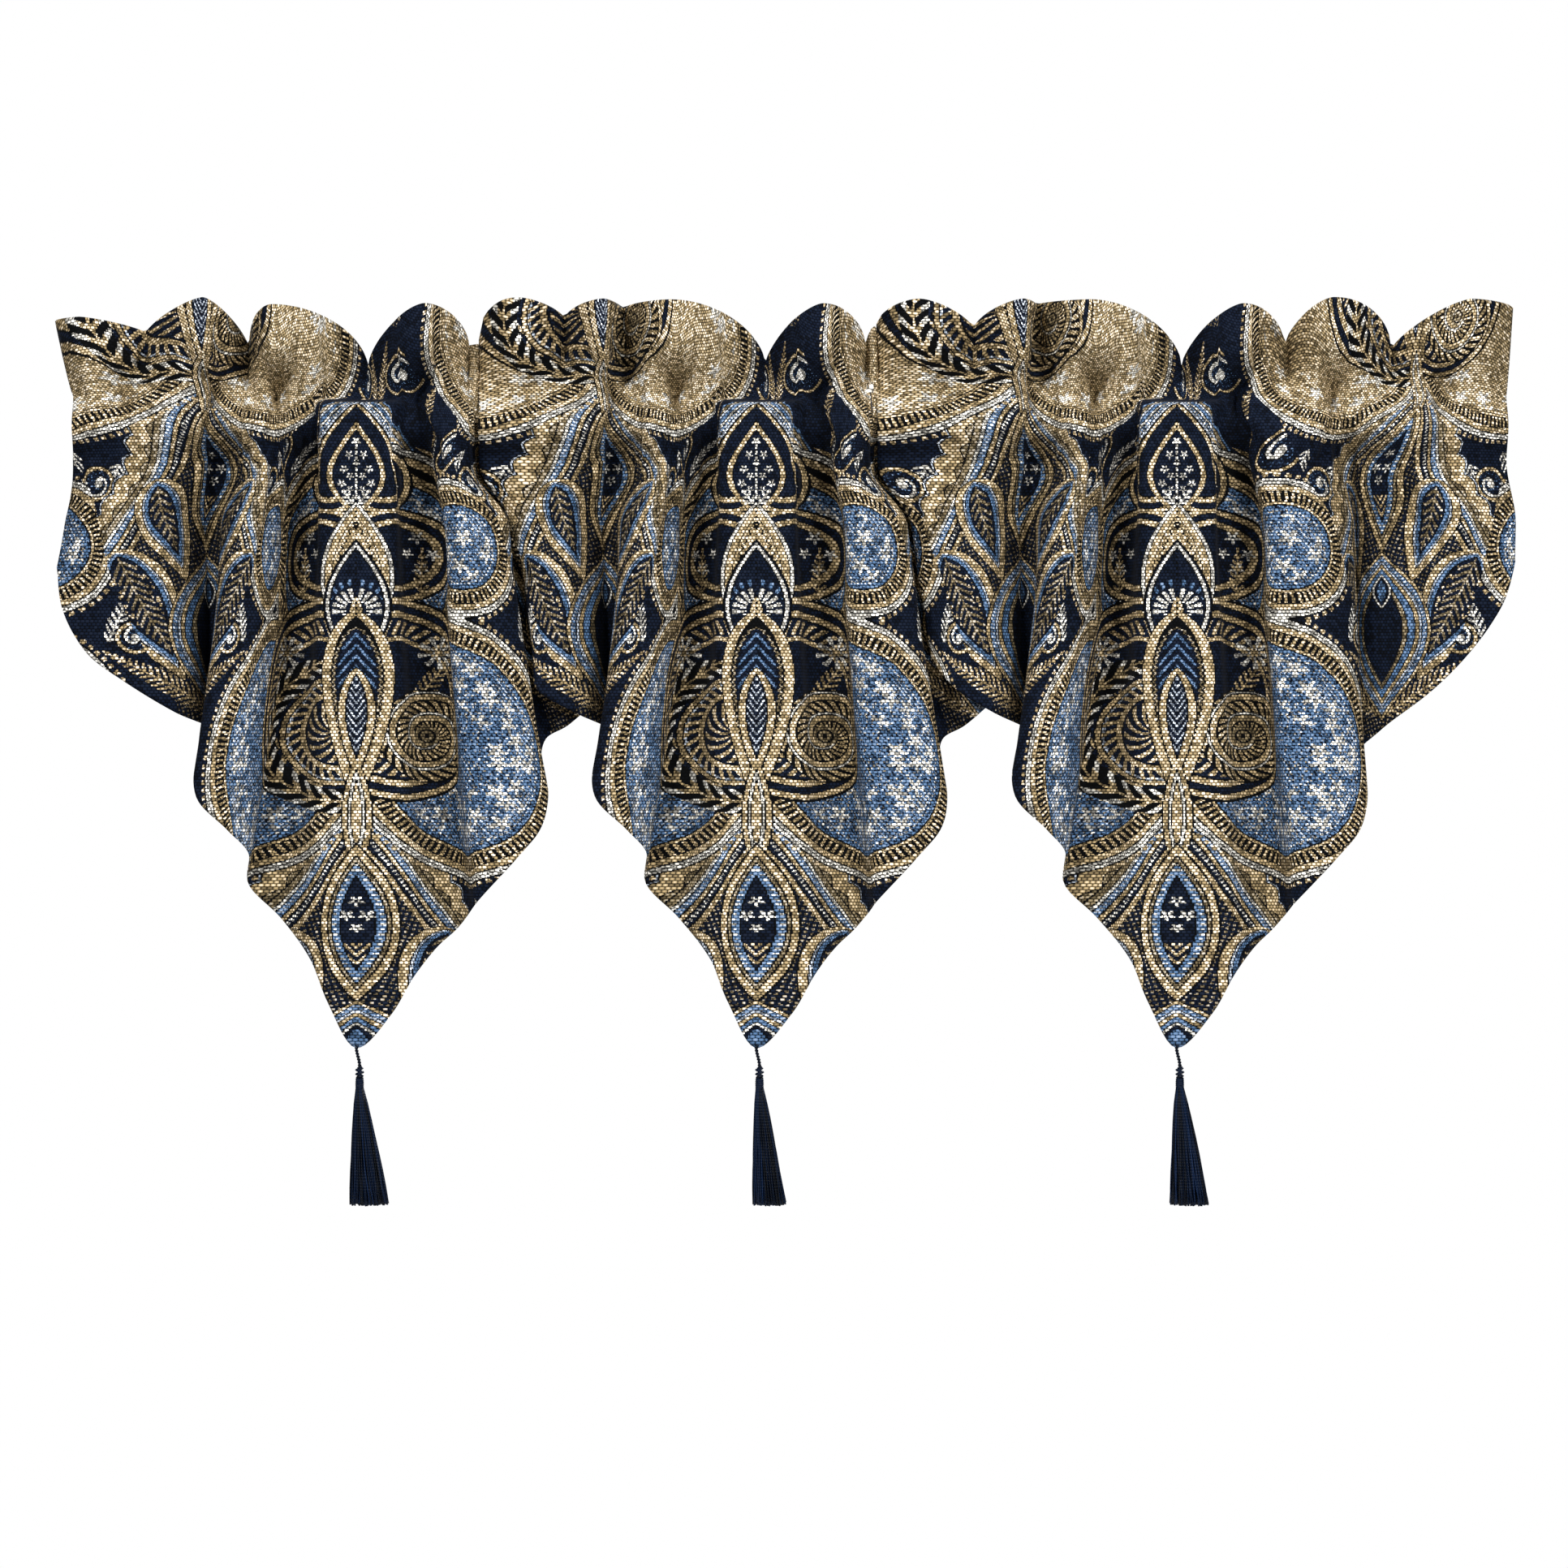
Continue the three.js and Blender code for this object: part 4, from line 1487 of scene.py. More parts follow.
    def _medallion(self) -> None:
        """The dark foiled medallion beside the axis, with a coil or a bent leaf in its largest foil."""
        parts = [self.foil(shape) for shape in self.FOILS]
        inside = parts[0].most(parts[1]).most(parts[2])
        self.bands(inside, "1.8 ink, 3.6 gold, 0.8 ink, 3.6 navy, 0.8 ink, 4.4 gold, 1 ink, 80 navy")
        lowest = parts[2].more(parts[1])
        turn = self._angle(30, 222)
        leaves = (turn * 46 + parts[2] * 0.55).sine().more(0.1)
        self.lay(lowest * inside.within(17.5, 27) * leaves, GOLD)
        self.lay(lowest * inside.within(28.5, 31.5), GOLD)
        for floret in ((53, 90, 5.5), (62, 104, 5), (54, 116, 5.5), (46, 103, 4.5), (40, 48, 4)):
            self.floret(*floret)
        self.fern((53, 140), 4, 42, 4, GOLD)
        self.fern((46, 222), 34, 40, 6, GOLD)
        rose, turn = self._polar(62, 184)
        rays = (turn * 9).sine().more(0.1)
        self.lay(rose.within(3, 13.5) * rays, CREAM)
        self.lay(rose.less(2.6), GOLD)
        self._coil(self.right)
        self._curved_leaf(self.right.less(0.5))

    def _coil(self, side: Field) -> None:
        """The rolled end of the medallion's paisley, on one side of the axis.

        Args:
            side: 1 on the side that it's on.
        """
        r, a = self._polar(50, 252)
        disc = r.less(37) * side
        self.lay(r.less(38) * side, INK)
        coil = (r * (1 / 17) - a * (0.5 / math.pi)).part()
        self.lay(coil.less(0.24) * disc, GOLD)
        self.lay(coil.within(0.3, 0.38) * disc, CREAM)
        grain = (a * 22 + r * 0.9).sine().more(-0.15)
        self.lay(coil.within(0.42, 0.92) * disc * grain, GOLD)
        self.lay(r.less(8) * side, TAN)
        self.lay(r.less(8) * (r * 1.6).sine().more(0.4) * side, INK)

    def _curved_leaf(self, side: Field) -> None:
        """A bent leaf of paired blades round half rings, on the other side of the axis.

        Args:
            side: 1 on the side that it's on.
        """
        r, a = self._polar(14, 248)
        self.bands(
            -(r - 45),
            "0.9 ink, 3 gold, 0.9 ink, 1.4 ice, 0.8 ink, 5 navy, 0.9 ink, 4 gold, 0.9 ink, 30 navy",
            side,
        )
        self.lay(r.within(29, 40) * (a * 30 - r * 0.5).sine().more(0.2) * side, GOLD)
        self.lay(r.less(26) * (a * 14 + r * 0.5).sine().more(0.3) * side, GOLD)
        rib = (r - 57).size()
        blades = (a * 26 + rib * 0.6).sine().more(0.25)
        wreath = r.within(47, 67) * self.q.more(190) * side
        self.lay(wreath, INK)
        self.lay(wreath * blades.most(rib.less(0.8)), GOLD)
        self.lay(wreath * blades * rib.more(5), CREAM)

    def _axis(self) -> None:
        """The column of pointed motifs on the axis."""
        self._top_ogee()
        self._palmette_ogee()
        self._bulb_ogee()
        self._lower_ogee()
        self._foot()

    def _top_ogee(self) -> None:
        """The uppermost ogee, with an open outer rim and a spray of flowers."""
        rim = self.ogee(self.TOP_RIM)
        self.bands(rim, "0.9 ink, 3.2 gold, 1 ink, 30 navy", self.q.less(48))
        top = self.ogee(Ogee(-6, 80, 25, 1.25, 0.95))
        self.bands(top, "0.9 ink, 4.2 gold, 0.9 ink, 20 navy")
        self.lay(self.p.less(0.7) * self.q.within(12, 64), CREAM)
        for floret in ((0, 13, 3.8), (6, 24, 3.6), (0, 30, 3), (10, 35, 3.8), (5, 41, 3),
                       (12, 47, 3.8), (5, 52, 3)):
            self.floret(*floret)
        self.fern((2, 64), 38, 15, 3.5, CREAM)

    def _palmette_ogee(self) -> None:
        """The second ogee: a gold hood over a dark almond with a palmette."""
        hood = self.ogee(Ogee(62, 126, 29, 0.95, 0.9))
        self.bands(hood, "0.9 ink, 2.6 cream, 0.8 ink, 5.4 gold, 0.9 ink, 30 gold")
        self.lay((hood + self.wave(self.q, 6) * 1.3).within(13.4, 14.8), INK)
        almond = self.ogee(Ogee(92, 104, 26, 1.05, 0.9))
        self.bands(almond, "1.6 ink, 1 navy, 2.8 cream, 1 ink, 30 navy")
        inner = almond.more(7.2)
        r, turn = self._polar(0, 150)
        self.lay(inner * r.within(20, 25) * (turn * 22).sine().more(0.3), BLUE)
        self.lay(inner * self.q.less(154) * r.within(7.5, 18) * (turn * 18).sine().more(-0.2), CREAM)
        self.bands(self.ogee(Ogee(138, 26, 5, 1, 0.8)), "0.7 ink, 10 gold")
        curl = self._radius(11, 166)
        self.lay(curl.within(2.6, 4.6), CREAM)
        self.lay(curl.less(1.3), CREAM)

    def _bulb_ogee(self) -> None:
        """The third ogee: a gold bulb with a toothed inside, which draws out into the stem."""
        bulb = self.ogee(Ogee(150, 170, 26, 0.58, 1.15))
        self.bands(bulb, "0.9 ink, 7.2 gold, 40 ink")
        toothed = self.ogee(Ogee(163, 130, 18, 0.6, 1.05)) + self.wave(self.q, 4.6) * 0.9
        self.bands(toothed, "1.4 ink, 1.6 tan, 0.8 ink, 30 navy")
        self.lay(toothed.more(5.6) * self.wave(self.p.scaled(-1.3, self.q), 8.8).more(0.45), BLUE)
        almond = self.ogee(Ogee(196, 92, 12.5, 0.72, 0.95))
        self.bands(almond, "0.9 ink, 4.2 gold, 0.9 ink, 10 navy")
        self.lay(almond.more(6.2) * self.wave(self.p.scaled(1.8, self.q), 6.4).more(0.5), ICE)
        stem = self.ogee(Ogee(268, 96, 9, 1, 0.8))
        span = self.q.within(276, 350)
        self.bands(stem, "0.8 ink, 2.6 gold, 0.7 ink, 1.4 cream, 0.7 ink, 8 gold", span)

    def _lower_ogee(self) -> None:
        """The fourth ogee, over the point: gold, blue and beads around flowers and leaves."""
        lower = self.ogee(Ogee(338, 132, 23, 1, 0.95))
        self.bands(lower, "1.4 ink, 4.4 gold, 1.2 ink, 1.6 tan, 1 ink, 4.2 blue, 0.9 ink, 20 navy")
        self.lay(lower.within(9.8, 12.2) * self.wave(self.q, 4).more(0.4), CREAM)
        inner = lower.more(14.6)
        self.lay(inner * self.q.more(420) * self.wave(self.q + self.p * 1.5, 6.4).more(0.2), GOLD)
        for floret in ((0, 386, 4.6), (5, 398, 4.6), (0, 408, 4)):
            self.floret(*floret)

    def _foot(self) -> None:
        """An onion of banded petals with a small diamond, below the fourth ogee."""
        onion = self.ogee(Ogee(466, 140, 44, 0.9, 1.1))
        self.bands(
            onion,
            "0.9 ink, 2.6 gold, 0.8 ink, 4.2 blue, 0.8 ink, 2 ice, 0.8 ink, 3 gold, 0.8 ink, 5 blue, "
            "0.8 ink, 3 tan, 0.8 ink, 20 navy",
        )
        self.lay(onion.within(4.6, 8.2) * self.wave(self.q + self.p * 0.5, 3.6).more(0.4), ICE)
        diamond = self.ogee(Ogee(484, 30, 10, 1, 1))
        self.bands(diamond, "0.9 ink, 1.8 cream, 0.7 ink, 2.4 navy, 10 blue")


@dataclass(frozen=True)
class Finish:
    """A material that is made once and shared."""

    name: str

    def material(self) -> bpy.types.Material:
        """The finish as a material.

        Returns:
            The material of that name, set up when it's first asked for.
        """
        material = bpy.data.materials.get(self.name)
        if material is None:
            material = bpy.data.materials.new(self.name)
            material.use_nodes = True
            self.set_up(material.node_tree, material.node_tree.nodes["Principled BSDF"])
        return material

    def set_up(self, tree: Tree, shader: Node) -> None:
        """Set up the material's nodes around its shader."""
        raise NotImplementedError

    @staticmethod
    def emboss(shader: Node, height: Field, strength: float, rise: float) -> None:
        """Raise a fine relief on the surface.

        Args:
            shader: the material's shader.
            height: the relief's height, as a share.
            strength: how strongly it shows.
            rise: its greatest height in millimetres.
        """
        relief = add_node(shader.id_data, "Bump")
        relief.inputs["Strength"].default_value = strength
        relief.inputs["Distance"].default_value = rise * MM
        feed(relief, "Height", height)
        feed(shader, "Normal", relief.outputs[0])


@dataclass(frozen=True)
class JacquardFinish(Finish):
    """A woven side of the cloth: its design, its stitches and its soft sheen."""

    dyes: dict[Dye, str]
    stitch_across: float = 3.2
    stitch_down: float = 2.5
    stitch_round: float = 0.6
    roughness: float = 0.8
    sheen: float = 0.02
    sheen_roughness: float = 0.5
    specular: float = 0.1
    bump: float = 0.5
    rise: float = 0.5
    painted_glint: float = 0.95
    contrast: float = 1.0
    fine: bool = True
    # How a stitch's height, chance and depth in the folds change its tone: painted shade and highlight that
    # follow the stitch's height, a random tone for each stitch, and painted shade deep in the folds
    stitch_gain: float = 2.0
    stitch_base: float = 1.2
    stitch_drop: float = 1.5
    darkest: float = 0.02
    chance_bend: float = 1.25
    chance_gain: float = 1.6
    chance_base: float = 0.32
    fold_gain: float = 0.75
    fold_base: float = 0.34
    fold_least: float = 0.5
    fold_most: float = 1.02

    def set_up(self, tree: Tree, shader: Node) -> None:
        """Set up the design, its stitches' tones and relief, and the shader's own values.

        Args:
            tree: the material's node tree.
            shader: its shader.
        """
        colour = PaisleyDesign(tree, self.dyes, self.fine).draw()
        stitch, chance = self._stitches(tree)
        # A stitch's tone follows its height. It is darker towards its edges, partly from dark threads between
        # stitches and partly from painted shade, and on its crest it passes full tone for a painted highlight
        base = self.stitch_base - self.stitch_drop * self.contrast
        tone = stitch.scaled(self.stitch_gain * self.contrast, base).most(self.darkest)
        tone = tone * chance.power(self.chance_bend).scaled(self.chance_gain, self.chance_base)
        if self.fine:
            # Painted shade: the colour darkens where the cloth lies deep in a fold or under the heading
            depth = add_node(tree, "Attribute", attribute_name="fold_open")
            painted_fold_shade = Field(tree, depth.outputs["Fac"]).scaled(self.fold_gain, self.fold_base)
            tone = tone * painted_fold_shade.most(self.fold_least).least(self.fold_most)
        shade = add_node(tree, "VectorMath", colour, operation="SCALE")
        feed(shade, "Scale", tone.least(1.0))
        red = Field(tree, add_node(tree, "SeparateColor", colour).outputs[0])
        # Past full tone, the stitch's crest is whitened: a painted highlight
        painted_glint = (tone - 1.0).most(0.0) * red * self.painted_glint
        paler = add_node(tree, "VectorMath", shade.outputs[0], painted_glint)
        feed(shader, "Base Color", paler.outputs[0])
        shader.inputs["Roughness"].default_value = self.roughness
        shader.inputs["Sheen Weight"].default_value = self.sheen
        shader.inputs["Sheen Roughness"].default_value = self.sheen_roughness
        shader.inputs["Specular IOR Level"].default_value = self.specular
        self.emboss(shader, stitch, self.bump, self.rise)

    def _stitches(self, tree: Tree) -> tuple[Field, Field]:
        """Rows of raised stitches, each row half a stitch on from the last.

        Args:
            tree: the material's node tree.

        Returns:
            The stitches' height, and a chance value for each stitch.
        """
        across, down = uv_places(tree, "Threads")
        down = down * (METRE / self.stitch_down)
        row = down.floor()
        across = across * (METRE / self.stitch_across) + row * 0.5
        lengthwise = (across.part() * math.pi).sine()
        crosswise = (down.part() * math.pi).sine()
        height = (lengthwise * crosswise).most(0.0).power(self.stitch_round)
        place = add_node(tree, "CombineXYZ", across.floor(), row)
        noise = add_node(tree, "TexWhiteNoise", place.outputs[0], noise_dimensions="2D")
        return height, Field(tree, noise.outputs["Value"])


@dataclass(frozen=True)
class YarnFinish(Finish):
    """Smooth twisted yarn with a soft sheen, a little different from strand to strand."""

    name: str = "tassel_yarn"
    deep: str = "#02060d"
    light: str = "#0b2345"
    roughness: float = 0.5
    specular: float = 0.2
    twist: float = 2.4
    twist_tone: float = 0.12
    bump: float = 0.5
    rise: float = 0.2

    def set_up(self, tree: Tree, shader: Node) -> None:
        """Set up the strands' tones, the twist's relief and the shader's own values.

        Args:
            tree: the material's node tree.
            shader: its shader.
        """
        across, down = uv_places(tree, "Threads")
        ply = ((down * (METRE / self.twist) + across) * (2 * math.pi)).sine()
        strand = add_node(tree, "Attribute", attribute_name="strand_tone")
        # The twist's height also shifts the colour: painted shade in the grooves between plies, lighter on
        # their crests
        share = Field(tree, strand.outputs["Fac"]) + ply * self.twist_tone
        mix = add_node(tree, "Mix", share, data_type="RGBA")
        feed(mix, 6, linear(self.deep))
        feed(mix, 7, linear(self.light))
        feed(shader, "Base Color", mix.outputs[2])
        shader.inputs["Roughness"].default_value = self.roughness
        shader.inputs["Specular IOR Level"].default_value = self.specular
        self.emboss(shader, ply, self.bump, self.rise)


@dataclass
class Yarns:
    """Runs of yarn as one mesh: tubes along paths, all with the same number of sides."""

    sides: int = 4
    points: list[Array] = field(default_factory=list)
    faces: list[Array] = field(default_factory=list)
    tones: list[Array] = field(default_factory=list)
    places: list[Array] = field(default_factory=list)
    count: int = 0

    def add(self, paths: Array, radii: Array, tones: Array, level: bool = False) -> None:
        """Add tubes.

        Args:
            paths: an array of runs, steps and coordinates.
            radii: the yarn's radius at each step of each run.
            tones: how light each run is, from 0 to 1.
            level: True for runs that go round level rather than down.
        """
        shape = (*paths.shape[:2], self.sides)
        turn = np.arange(self.sides) * 2 * np.pi / self.sides
        first, second = np.array([1.0, 0.0, 0.0]), np.array([0.0, -1.0, 0.0])
        if level:
            way = np.gradient(paths, axis=1)
            way /= np.linalg.norm(way, axis=2, keepdims=True)
            second = np.array([0.0, 0.0, 1.0])
            first = np.cross(way, second)
        first, second = (np.broadcast_to(side, paths.shape)[:, :, None] for side in (first, second))
        ring = first * np.cos(turn)[:, None] + second * np.sin(turn)[:, None]
        points = paths[:, :, None] + ring * radii[:, :, None, None]
        index = self.count + np.arange(np.prod(shape)).reshape(shape)
        after = np.roll(index, -1, axis=2)
        quads = np.stack([index[:, :-1], index[:, 1:], after[:, 1:], after[:, :-1]], axis=-1)
        steps = np.linalg.norm(np.diff(paths, axis=1), axis=2)
        length = np.pad(steps.cumsum(axis=1), ((0, 0), (1, 0)))
        place = np.stack(np.broadcast_arrays(turn / (2 * np.pi), length[:, :, None] * MM), axis=-1)
        self.points.append(points.reshape(-1, 3))
        self.faces.append(quads.reshape(-1, 4))
        self.tones.append(np.repeat(tones, shape[1] * self.sides))
        self.places.append(place.reshape(-1, 2))
        self.count += int(np.prod(shape))

    def wind(
        self, radius: Array | float, turn: Array, z: Array, thick: float, tone: float, level: bool = True
    ) -> None:
        """Add one run of yarn that winds round the middle.

        Args:
            radius: how far out it winds.
            turn: its angle at each step.
            z: its height at each step.
            thick: the yarn's own radius.
            tone: how light it is, from 0 to 1.
            level: False if it runs down more than round.
        """
        path = np.stack([radius * np.cos(turn), radius * np.sin(turn), z], axis=1)
        self.add(path[None], np.full((1, len(turn)), thick), np.array([tone]), level)

    def mesh(self, name: str) -> Mesh:
        """Join the tubes into one mesh with closed ends.

        Args:
            name: the mesh's name.

        Returns:
            The mesh, in millimetres scaled to metres.
        """
        mesh = bpy.data.meshes.new(name)
        points = np.concatenate(self.points) * MM
        mesh.from_pydata(points.tolist(), [], np.concatenate(self.faces).tolist())
        body = bmesh.new()
        body.from_mesh(mesh)
        open_edges = [e for e in body.edges if e.is_boundary]
        bmesh.ops.holes_fill(body, edges=open_edges, sides=self.sides)
        bmesh.ops.recalc_face_normals(body, faces=body.faces[:])
        body.to_mesh(mesh)
        body.free()
        maps = {"Threads": np.concatenate(self.places)}
        dress_mesh(mesh, "strand_tone", np.concatenate(self.tones), maps)
        return mesh


@dataclass
class Tassel:
    """A tassel that hangs from a valance's point: cord, knot, wound neck and skirt of yarn."""

    place: Place
    axis_x: float
    width: float
    point_y: float = -22.0
    point_z: float = -505.0
    cord_length: float = 15.0
    cord_steps: int = 26
    cord_twists: int = 4
    cord_root: float = 2.0
    cord_tail: float = 4.0
    cord_tone: float = 0.2
    cord_radius: float = 0.7
    ply_radius: float = 0.9
    knot_length: float = 10.0
    knot_steps: int = 25
    knot_tilt: float = 1.6
    knot_yarn: float = 1.15
    neck_length: float = 9.0
    neck_radius: float = 3.5
    neck_turns: int = 8
    neck_steps: int = 18
    neck_inset: float = 0.75
    neck_swell: float = 0.25
    neck_yarn: float = 0.72
    neck_tone: float = 0.5
    skirt_length: float = 94.0
    cord_lean: float = 2.6
    skirt_lean: float = 8.0
    strands: int = 300
    strand_steps: int = 8
    strand_radius: float = 0.62
    strand_thin: float = 0.62
    strand_swell: float = 0.42
    root_inset: float = 0.6
    root_rise: float = 2.0
    spread_bend: float = 0.8
    phase: float = 6.28
    sway: float = 0.5
    sway_turn: float = 7.0
    twirl: float = 0.1
    twirl_turn: float = 4.0
    longest: float = 2.5
    ragged: float = 3.2
    tone_bend: float = 1.6
    golden_turn: float = 2.39996
    seed: int = 5

    # The knot's turns of cord: how high each lies, its tilt, its radius and how light it is
    KNOT = (
        (3.6, 0.3, 1.2, 0.2), (2.2, 0.5, 2.2, 0.35), (0.7, -0.6, 2.7, 0.5), (-0.9, 0.55, 2.7, 0.4),
        (-2.4, -0.5, 2.4, 0.3), (-3.8, 0.3, 2.1, 0.15),
    )

    def build(self) -> Object:
        """Make the tassel as one mesh object.

        Returns:
            The tassel, in its place under the point.
        """
        rng = np.random.default_rng(self.seed + len(self.place.value))
        yarns = Yarns()
        self._cord(yarns)
        self._knot(yarns)
        self._neck(yarns)
        self._skirt(yarns, rng)
        for points in yarns.points:
            self._lean(points)
            points += np.array([self.axis_x, self.point_y, self.point_z])
        name = f"tassel_yarn_{self.place.value}"
        return put(name, yarns.mesh(name))

    def _lean(self, points: Array) -> None:
        """Shift points sideways as the tassel hangs aslant.

        Args:
            points: the points, which are moved.
        """
        head = self.cord_length + self.knot_length + self.neck_length
        down = -points[:, 2]
        points[:, 0] += self.cord_lean * smoothstep(down, 0, self.cord_length)
        points[:, 0] += self.skirt_lean * np.clip((down - head) / self.skirt_length, 0, 1)

    def _cord(self, yarns: Yarns) -> None:
        """The hanging cord, of two plies laid round each other.

        Args:
            yarns: the tassel's yarns so far.
        """
        share = np.linspace(0, 1, self.cord_steps)
        turn = share * 2 * np.pi * self.cord_twists
        z = self.cord_root - share * (self.cord_length + self.cord_tail)
        for phase in (0.0, np.pi):
            yarns.wind(self.cord_radius, turn + phase, z, self.ply_radius, self.cord_tone, level=False)

    def _knot(self, yarns: Yarns) -> None:
        """The knot: turns of cord that cross over each other.

        Args:
            yarns: the tassel's yarns so far.
        """
        turn = np.linspace(0, 2 * np.pi, self.knot_steps)
        middle = -self.cord_length - self.knot_length / 2
        for rise, tilt, radius, tone in self.KNOT:
            z = middle + rise + tilt * self.knot_tilt * np.cos(turn)
            yarns.wind(radius, turn, z, self.knot_yarn, tone)

    def _neck(self, yarns: Yarns) -> None:
        """The neck: yarn wound round the top of the skirt.

        Args:
            yarns: the tassel's yarns so far.
        """
        top = -self.cord_length - self.knot_length
        turn = np.linspace(0, 2 * np.pi * self.neck_turns, self.neck_turns * self.neck_steps + 1)
        share = turn / turn[-1]
        radius = self.neck_radius - self.neck_inset + self.neck_swell * np.sin(share * np.pi)
        yarns.wind(radius, turn, top - share * self.neck_length, self.neck_yarn, self.neck_tone)

    def _skirt(self, yarns: Yarns, rng: np.random.Generator) -> None:
        """The skirt: strands that fall from under the neck and spread to its lower edge.

        Args:
            yarns: the tassel's yarns so far.
            rng: chance for the strands.
        """
        head = -self.cord_length - self.knot_length - self.neck_length
        order = np.arange(self.strands)
        share = np.sqrt((order + 0.5) / self.strands)
        turn = order * self.golden_turn
        steps = np.linspace(0, 1, self.strand_steps)
        end = (self.width / 2 - self.strand_radius) * share
        root = (self.neck_radius - self.root_inset) * share
        radius = root[:, None] + (end - root)[:, None] * steps**self.spread_bend
        begin = rng.uniform(0, self.phase, (self.strands, 1))
        sway = self.sway * np.sin(steps * self.sway_turn + begin) * steps
        begin = rng.uniform(0, self.phase, (self.strands, 1))
        angle = turn[:, None] + self.twirl * np.sin(steps * self.twirl_turn + begin) * steps
        length = self.skirt_length + self.longest - rng.uniform(0, self.ragged, self.strands)
        z = head + self.root_rise - steps * length[:, None]
        paths = np.stack([radius * np.cos(angle) + sway, radius * np.sin(angle), z], axis=2)
        thick = self.strand_radius * (self.strand_thin + self.strand_swell * steps)
        radii = np.broadcast_to(thick, radius.shape)
        yarns.add(paths, radii, rng.uniform(0.0, 1.0, self.strands) ** self.tone_bend)

    def dress(self, tassel: Object, finish: YarnFinish) -> None:
        """Give the tassel its finish and its place on the frame.

        Args:
            tassel: the tassel.
            finish: its yarn's finish.
        """
        tassel.data.materials.append(finish.material())
        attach(tassel, "root")
        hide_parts(f"tassel_{self.place.value}")


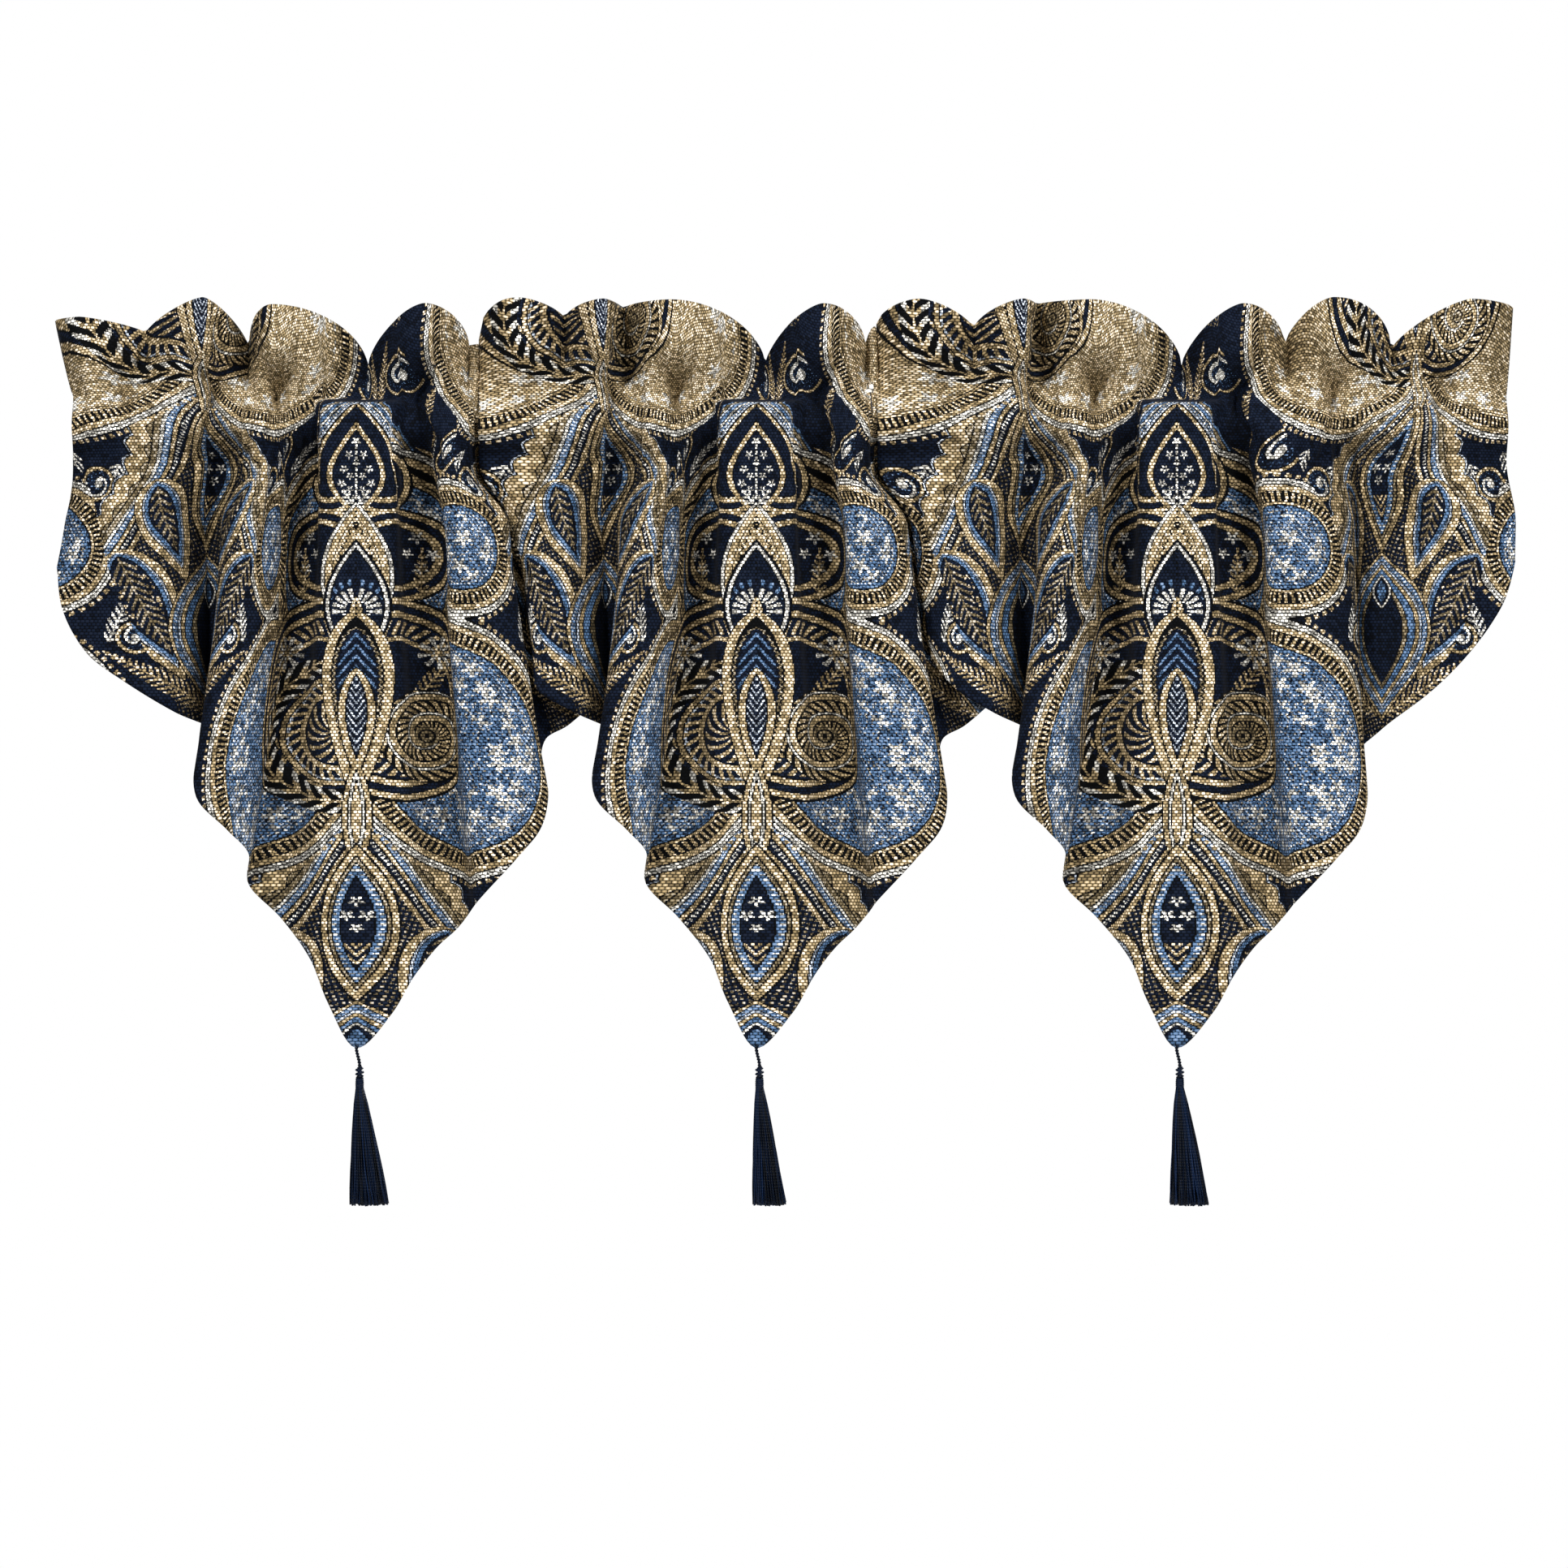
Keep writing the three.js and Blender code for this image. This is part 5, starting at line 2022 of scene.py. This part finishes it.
@dataclass
class Studio:
    """Pale floor, soft light and a level camera in front of the row."""

    middle_z: float = -0.2911
    view_width: float = 1.2783
    distance: float = 6.0
    sensor: float = 36.0
    floor_z: float = -1.1
    floor_radius: float = 1.15
    floor_sides: int = 96
    floor_colour: tuple[float, ...] = (0.86, 0.86, 0.85, 1)
    floor_roughness: float = 0.9
    view_end: float = 50.0
    ambient: float = 0.07
    aim: tuple[float, float, float] = (0.0, 0.0, -0.2)

    # Each light's name, place, size and power
    LIGHTS = (
        ("key", (-2.2, -2.6, 2.2), 0.7, 97),
        ("side", (2.0, -2.6, 1.6), 0.9, 75),
        ("fill", (0.9, -3.6, 0.4), 1.6, 30),
        ("behind", (0.6, 2.8, 0.8), 1.6, 90),
    )

    def build(self) -> None:
        """Set up the floor, light and camera."""
        self._floor()
        self._world()
        for light in self.LIGHTS:
            self._light(*light)
        self._camera()
        bpy.context.scene.view_settings.view_transform = "Standard"

    def _floor(self) -> None:
        """A round pale floor, below the view."""
        body = bmesh.new()
        bmesh.ops.create_circle(body, cap_ends=True, segments=self.floor_sides, radius=self.floor_radius)
        bmesh.ops.translate(body, verts=body.verts[:], vec=(0, 0, self.floor_z))
        mesh = bpy.data.meshes.new("floor")
        body.to_mesh(mesh)
        body.free()
        material = bpy.data.materials.new("pale_floor")
        material.use_nodes = True
        shader = material.node_tree.nodes["Principled BSDF"]
        shader.inputs["Base Color"].default_value = self.floor_colour
        shader.inputs["Roughness"].default_value = self.floor_roughness
        mesh.materials.append(material)
        put("floor", mesh)

    def _world(self) -> None:
        """A white surround that lights the row less than it shows."""
        world = bpy.data.worlds.new("surround")
        bpy.context.scene.world = world
        world.use_nodes = True
        tree = world.node_tree
        glow = tree.nodes["Background"]
        glow.inputs["Color"].default_value = (1, 1, 1, 1)
        path = add_node(tree, "LightPath")
        seen = Field(tree, path.outputs["Is Camera Ray"])
        feed(glow, "Strength", seen * (1.0 - self.ambient) + self.ambient)

    def _light(self, name: str, at: tuple[float, float, float], size: float, power: float) -> None:
        """A square soft light that faces the row.

        Args:
            name: its name.
            at: its place.
            size: its side.
            power: its power in watts.
        """
        lamp = bpy.data.lights.new(name, "AREA")
        lamp.size = size
        lamp.energy = power
        light = put(name, lamp)
        light.location = at
        aim = np.array(self.aim) - np.array(at)
        light.rotation_euler = Vector(aim).to_track_quat("-Z", "Y").to_euler()

    def _camera(self) -> None:
        """A level camera with a long lens, square to the row."""
        lens = bpy.data.cameras.new("camera")
        lens.sensor_width = self.sensor
        lens.lens = self.sensor * self.distance / self.view_width
        lens.clip_end = self.view_end
        camera = put("camera", lens)
        camera.location = (0.0, -self.distance, self.middle_z)
        camera.rotation_euler = (math.pi / 2, 0.0, 0.0)
        bpy.context.scene.camera = camera


LEFT_AXIS, MIDDLE_AXIS, RIGHT_AXIS = -347.3, -22.5, 318.9

CLOTHS = (
    AscotCloth(
        Place.LEFT, LEFT_AXIS, LEFT_RUFFLES, LEFT_WING_FREE, RIGHT_WING_TUCKED,
        (*FRONT_CREASES, *LEFT_WING_CREASES), (*LEFT_PINCHES, *FRONT_PINCHES), left_flare=-17.0,
    ),
    AscotCloth(
        Place.MIDDLE, MIDDLE_AXIS, MIDDLE_RUFFLES, left_wing_tucked(MIDDLE_AXIS - LEFT_AXIS),
        RIGHT_WING_TUCKED, (*FRONT_CREASES, *LEFT_WING_CREASES), (*LEFT_PINCHES, *FRONT_PINCHES),
    ),
    AscotCloth(
        Place.RIGHT, RIGHT_AXIS, RIGHT_RUFFLES, left_wing_tucked(RIGHT_AXIS - MIDDLE_AXIS), RIGHT_WING_FREE,
        (*FRONT_CREASES, *LEFT_WING_CREASES, *RIGHT_WING_CREASES),
        (*LEFT_PINCHES, *FRONT_PINCHES, *RIGHT_PINCHES), right_flare=7.0,
    ),
)

TASSELS = (
    Tassel(Place.LEFT, LEFT_AXIS, 33.0),
    Tassel(Place.MIDDLE, MIDDLE_AXIS, 28.0),
    Tassel(Place.RIGHT, RIGHT_AXIS, 33.0),
)


def main() -> None:
    """Build the row's cloths and tassels, then the studio around them."""
    logging.basicConfig(level=logging.INFO, format="%(name)s: %(message)s")
    Studio().build()
    face = JacquardFinish("jacquard_face", FACE_DYES)
    reverse = JacquardFinish("jacquard_reverse", REVERSE_DYES, contrast=0.5, fine=False)
    for cloth in CLOTHS:
        piece = cloth.build()
        cloth.dress(piece, face, reverse)
        LOG.info("%s: %.3f m wide, %.3f m2", piece.name, cloth.width * MM, cloth.area)
    yarn = YarnFinish()
    for tassel in TASSELS:
        piece = tassel.build()
        tassel.dress(piece, yarn)
        LOG.info("%s: %d strands", piece.name, tassel.strands)


if __name__ == "__main__":
    main()
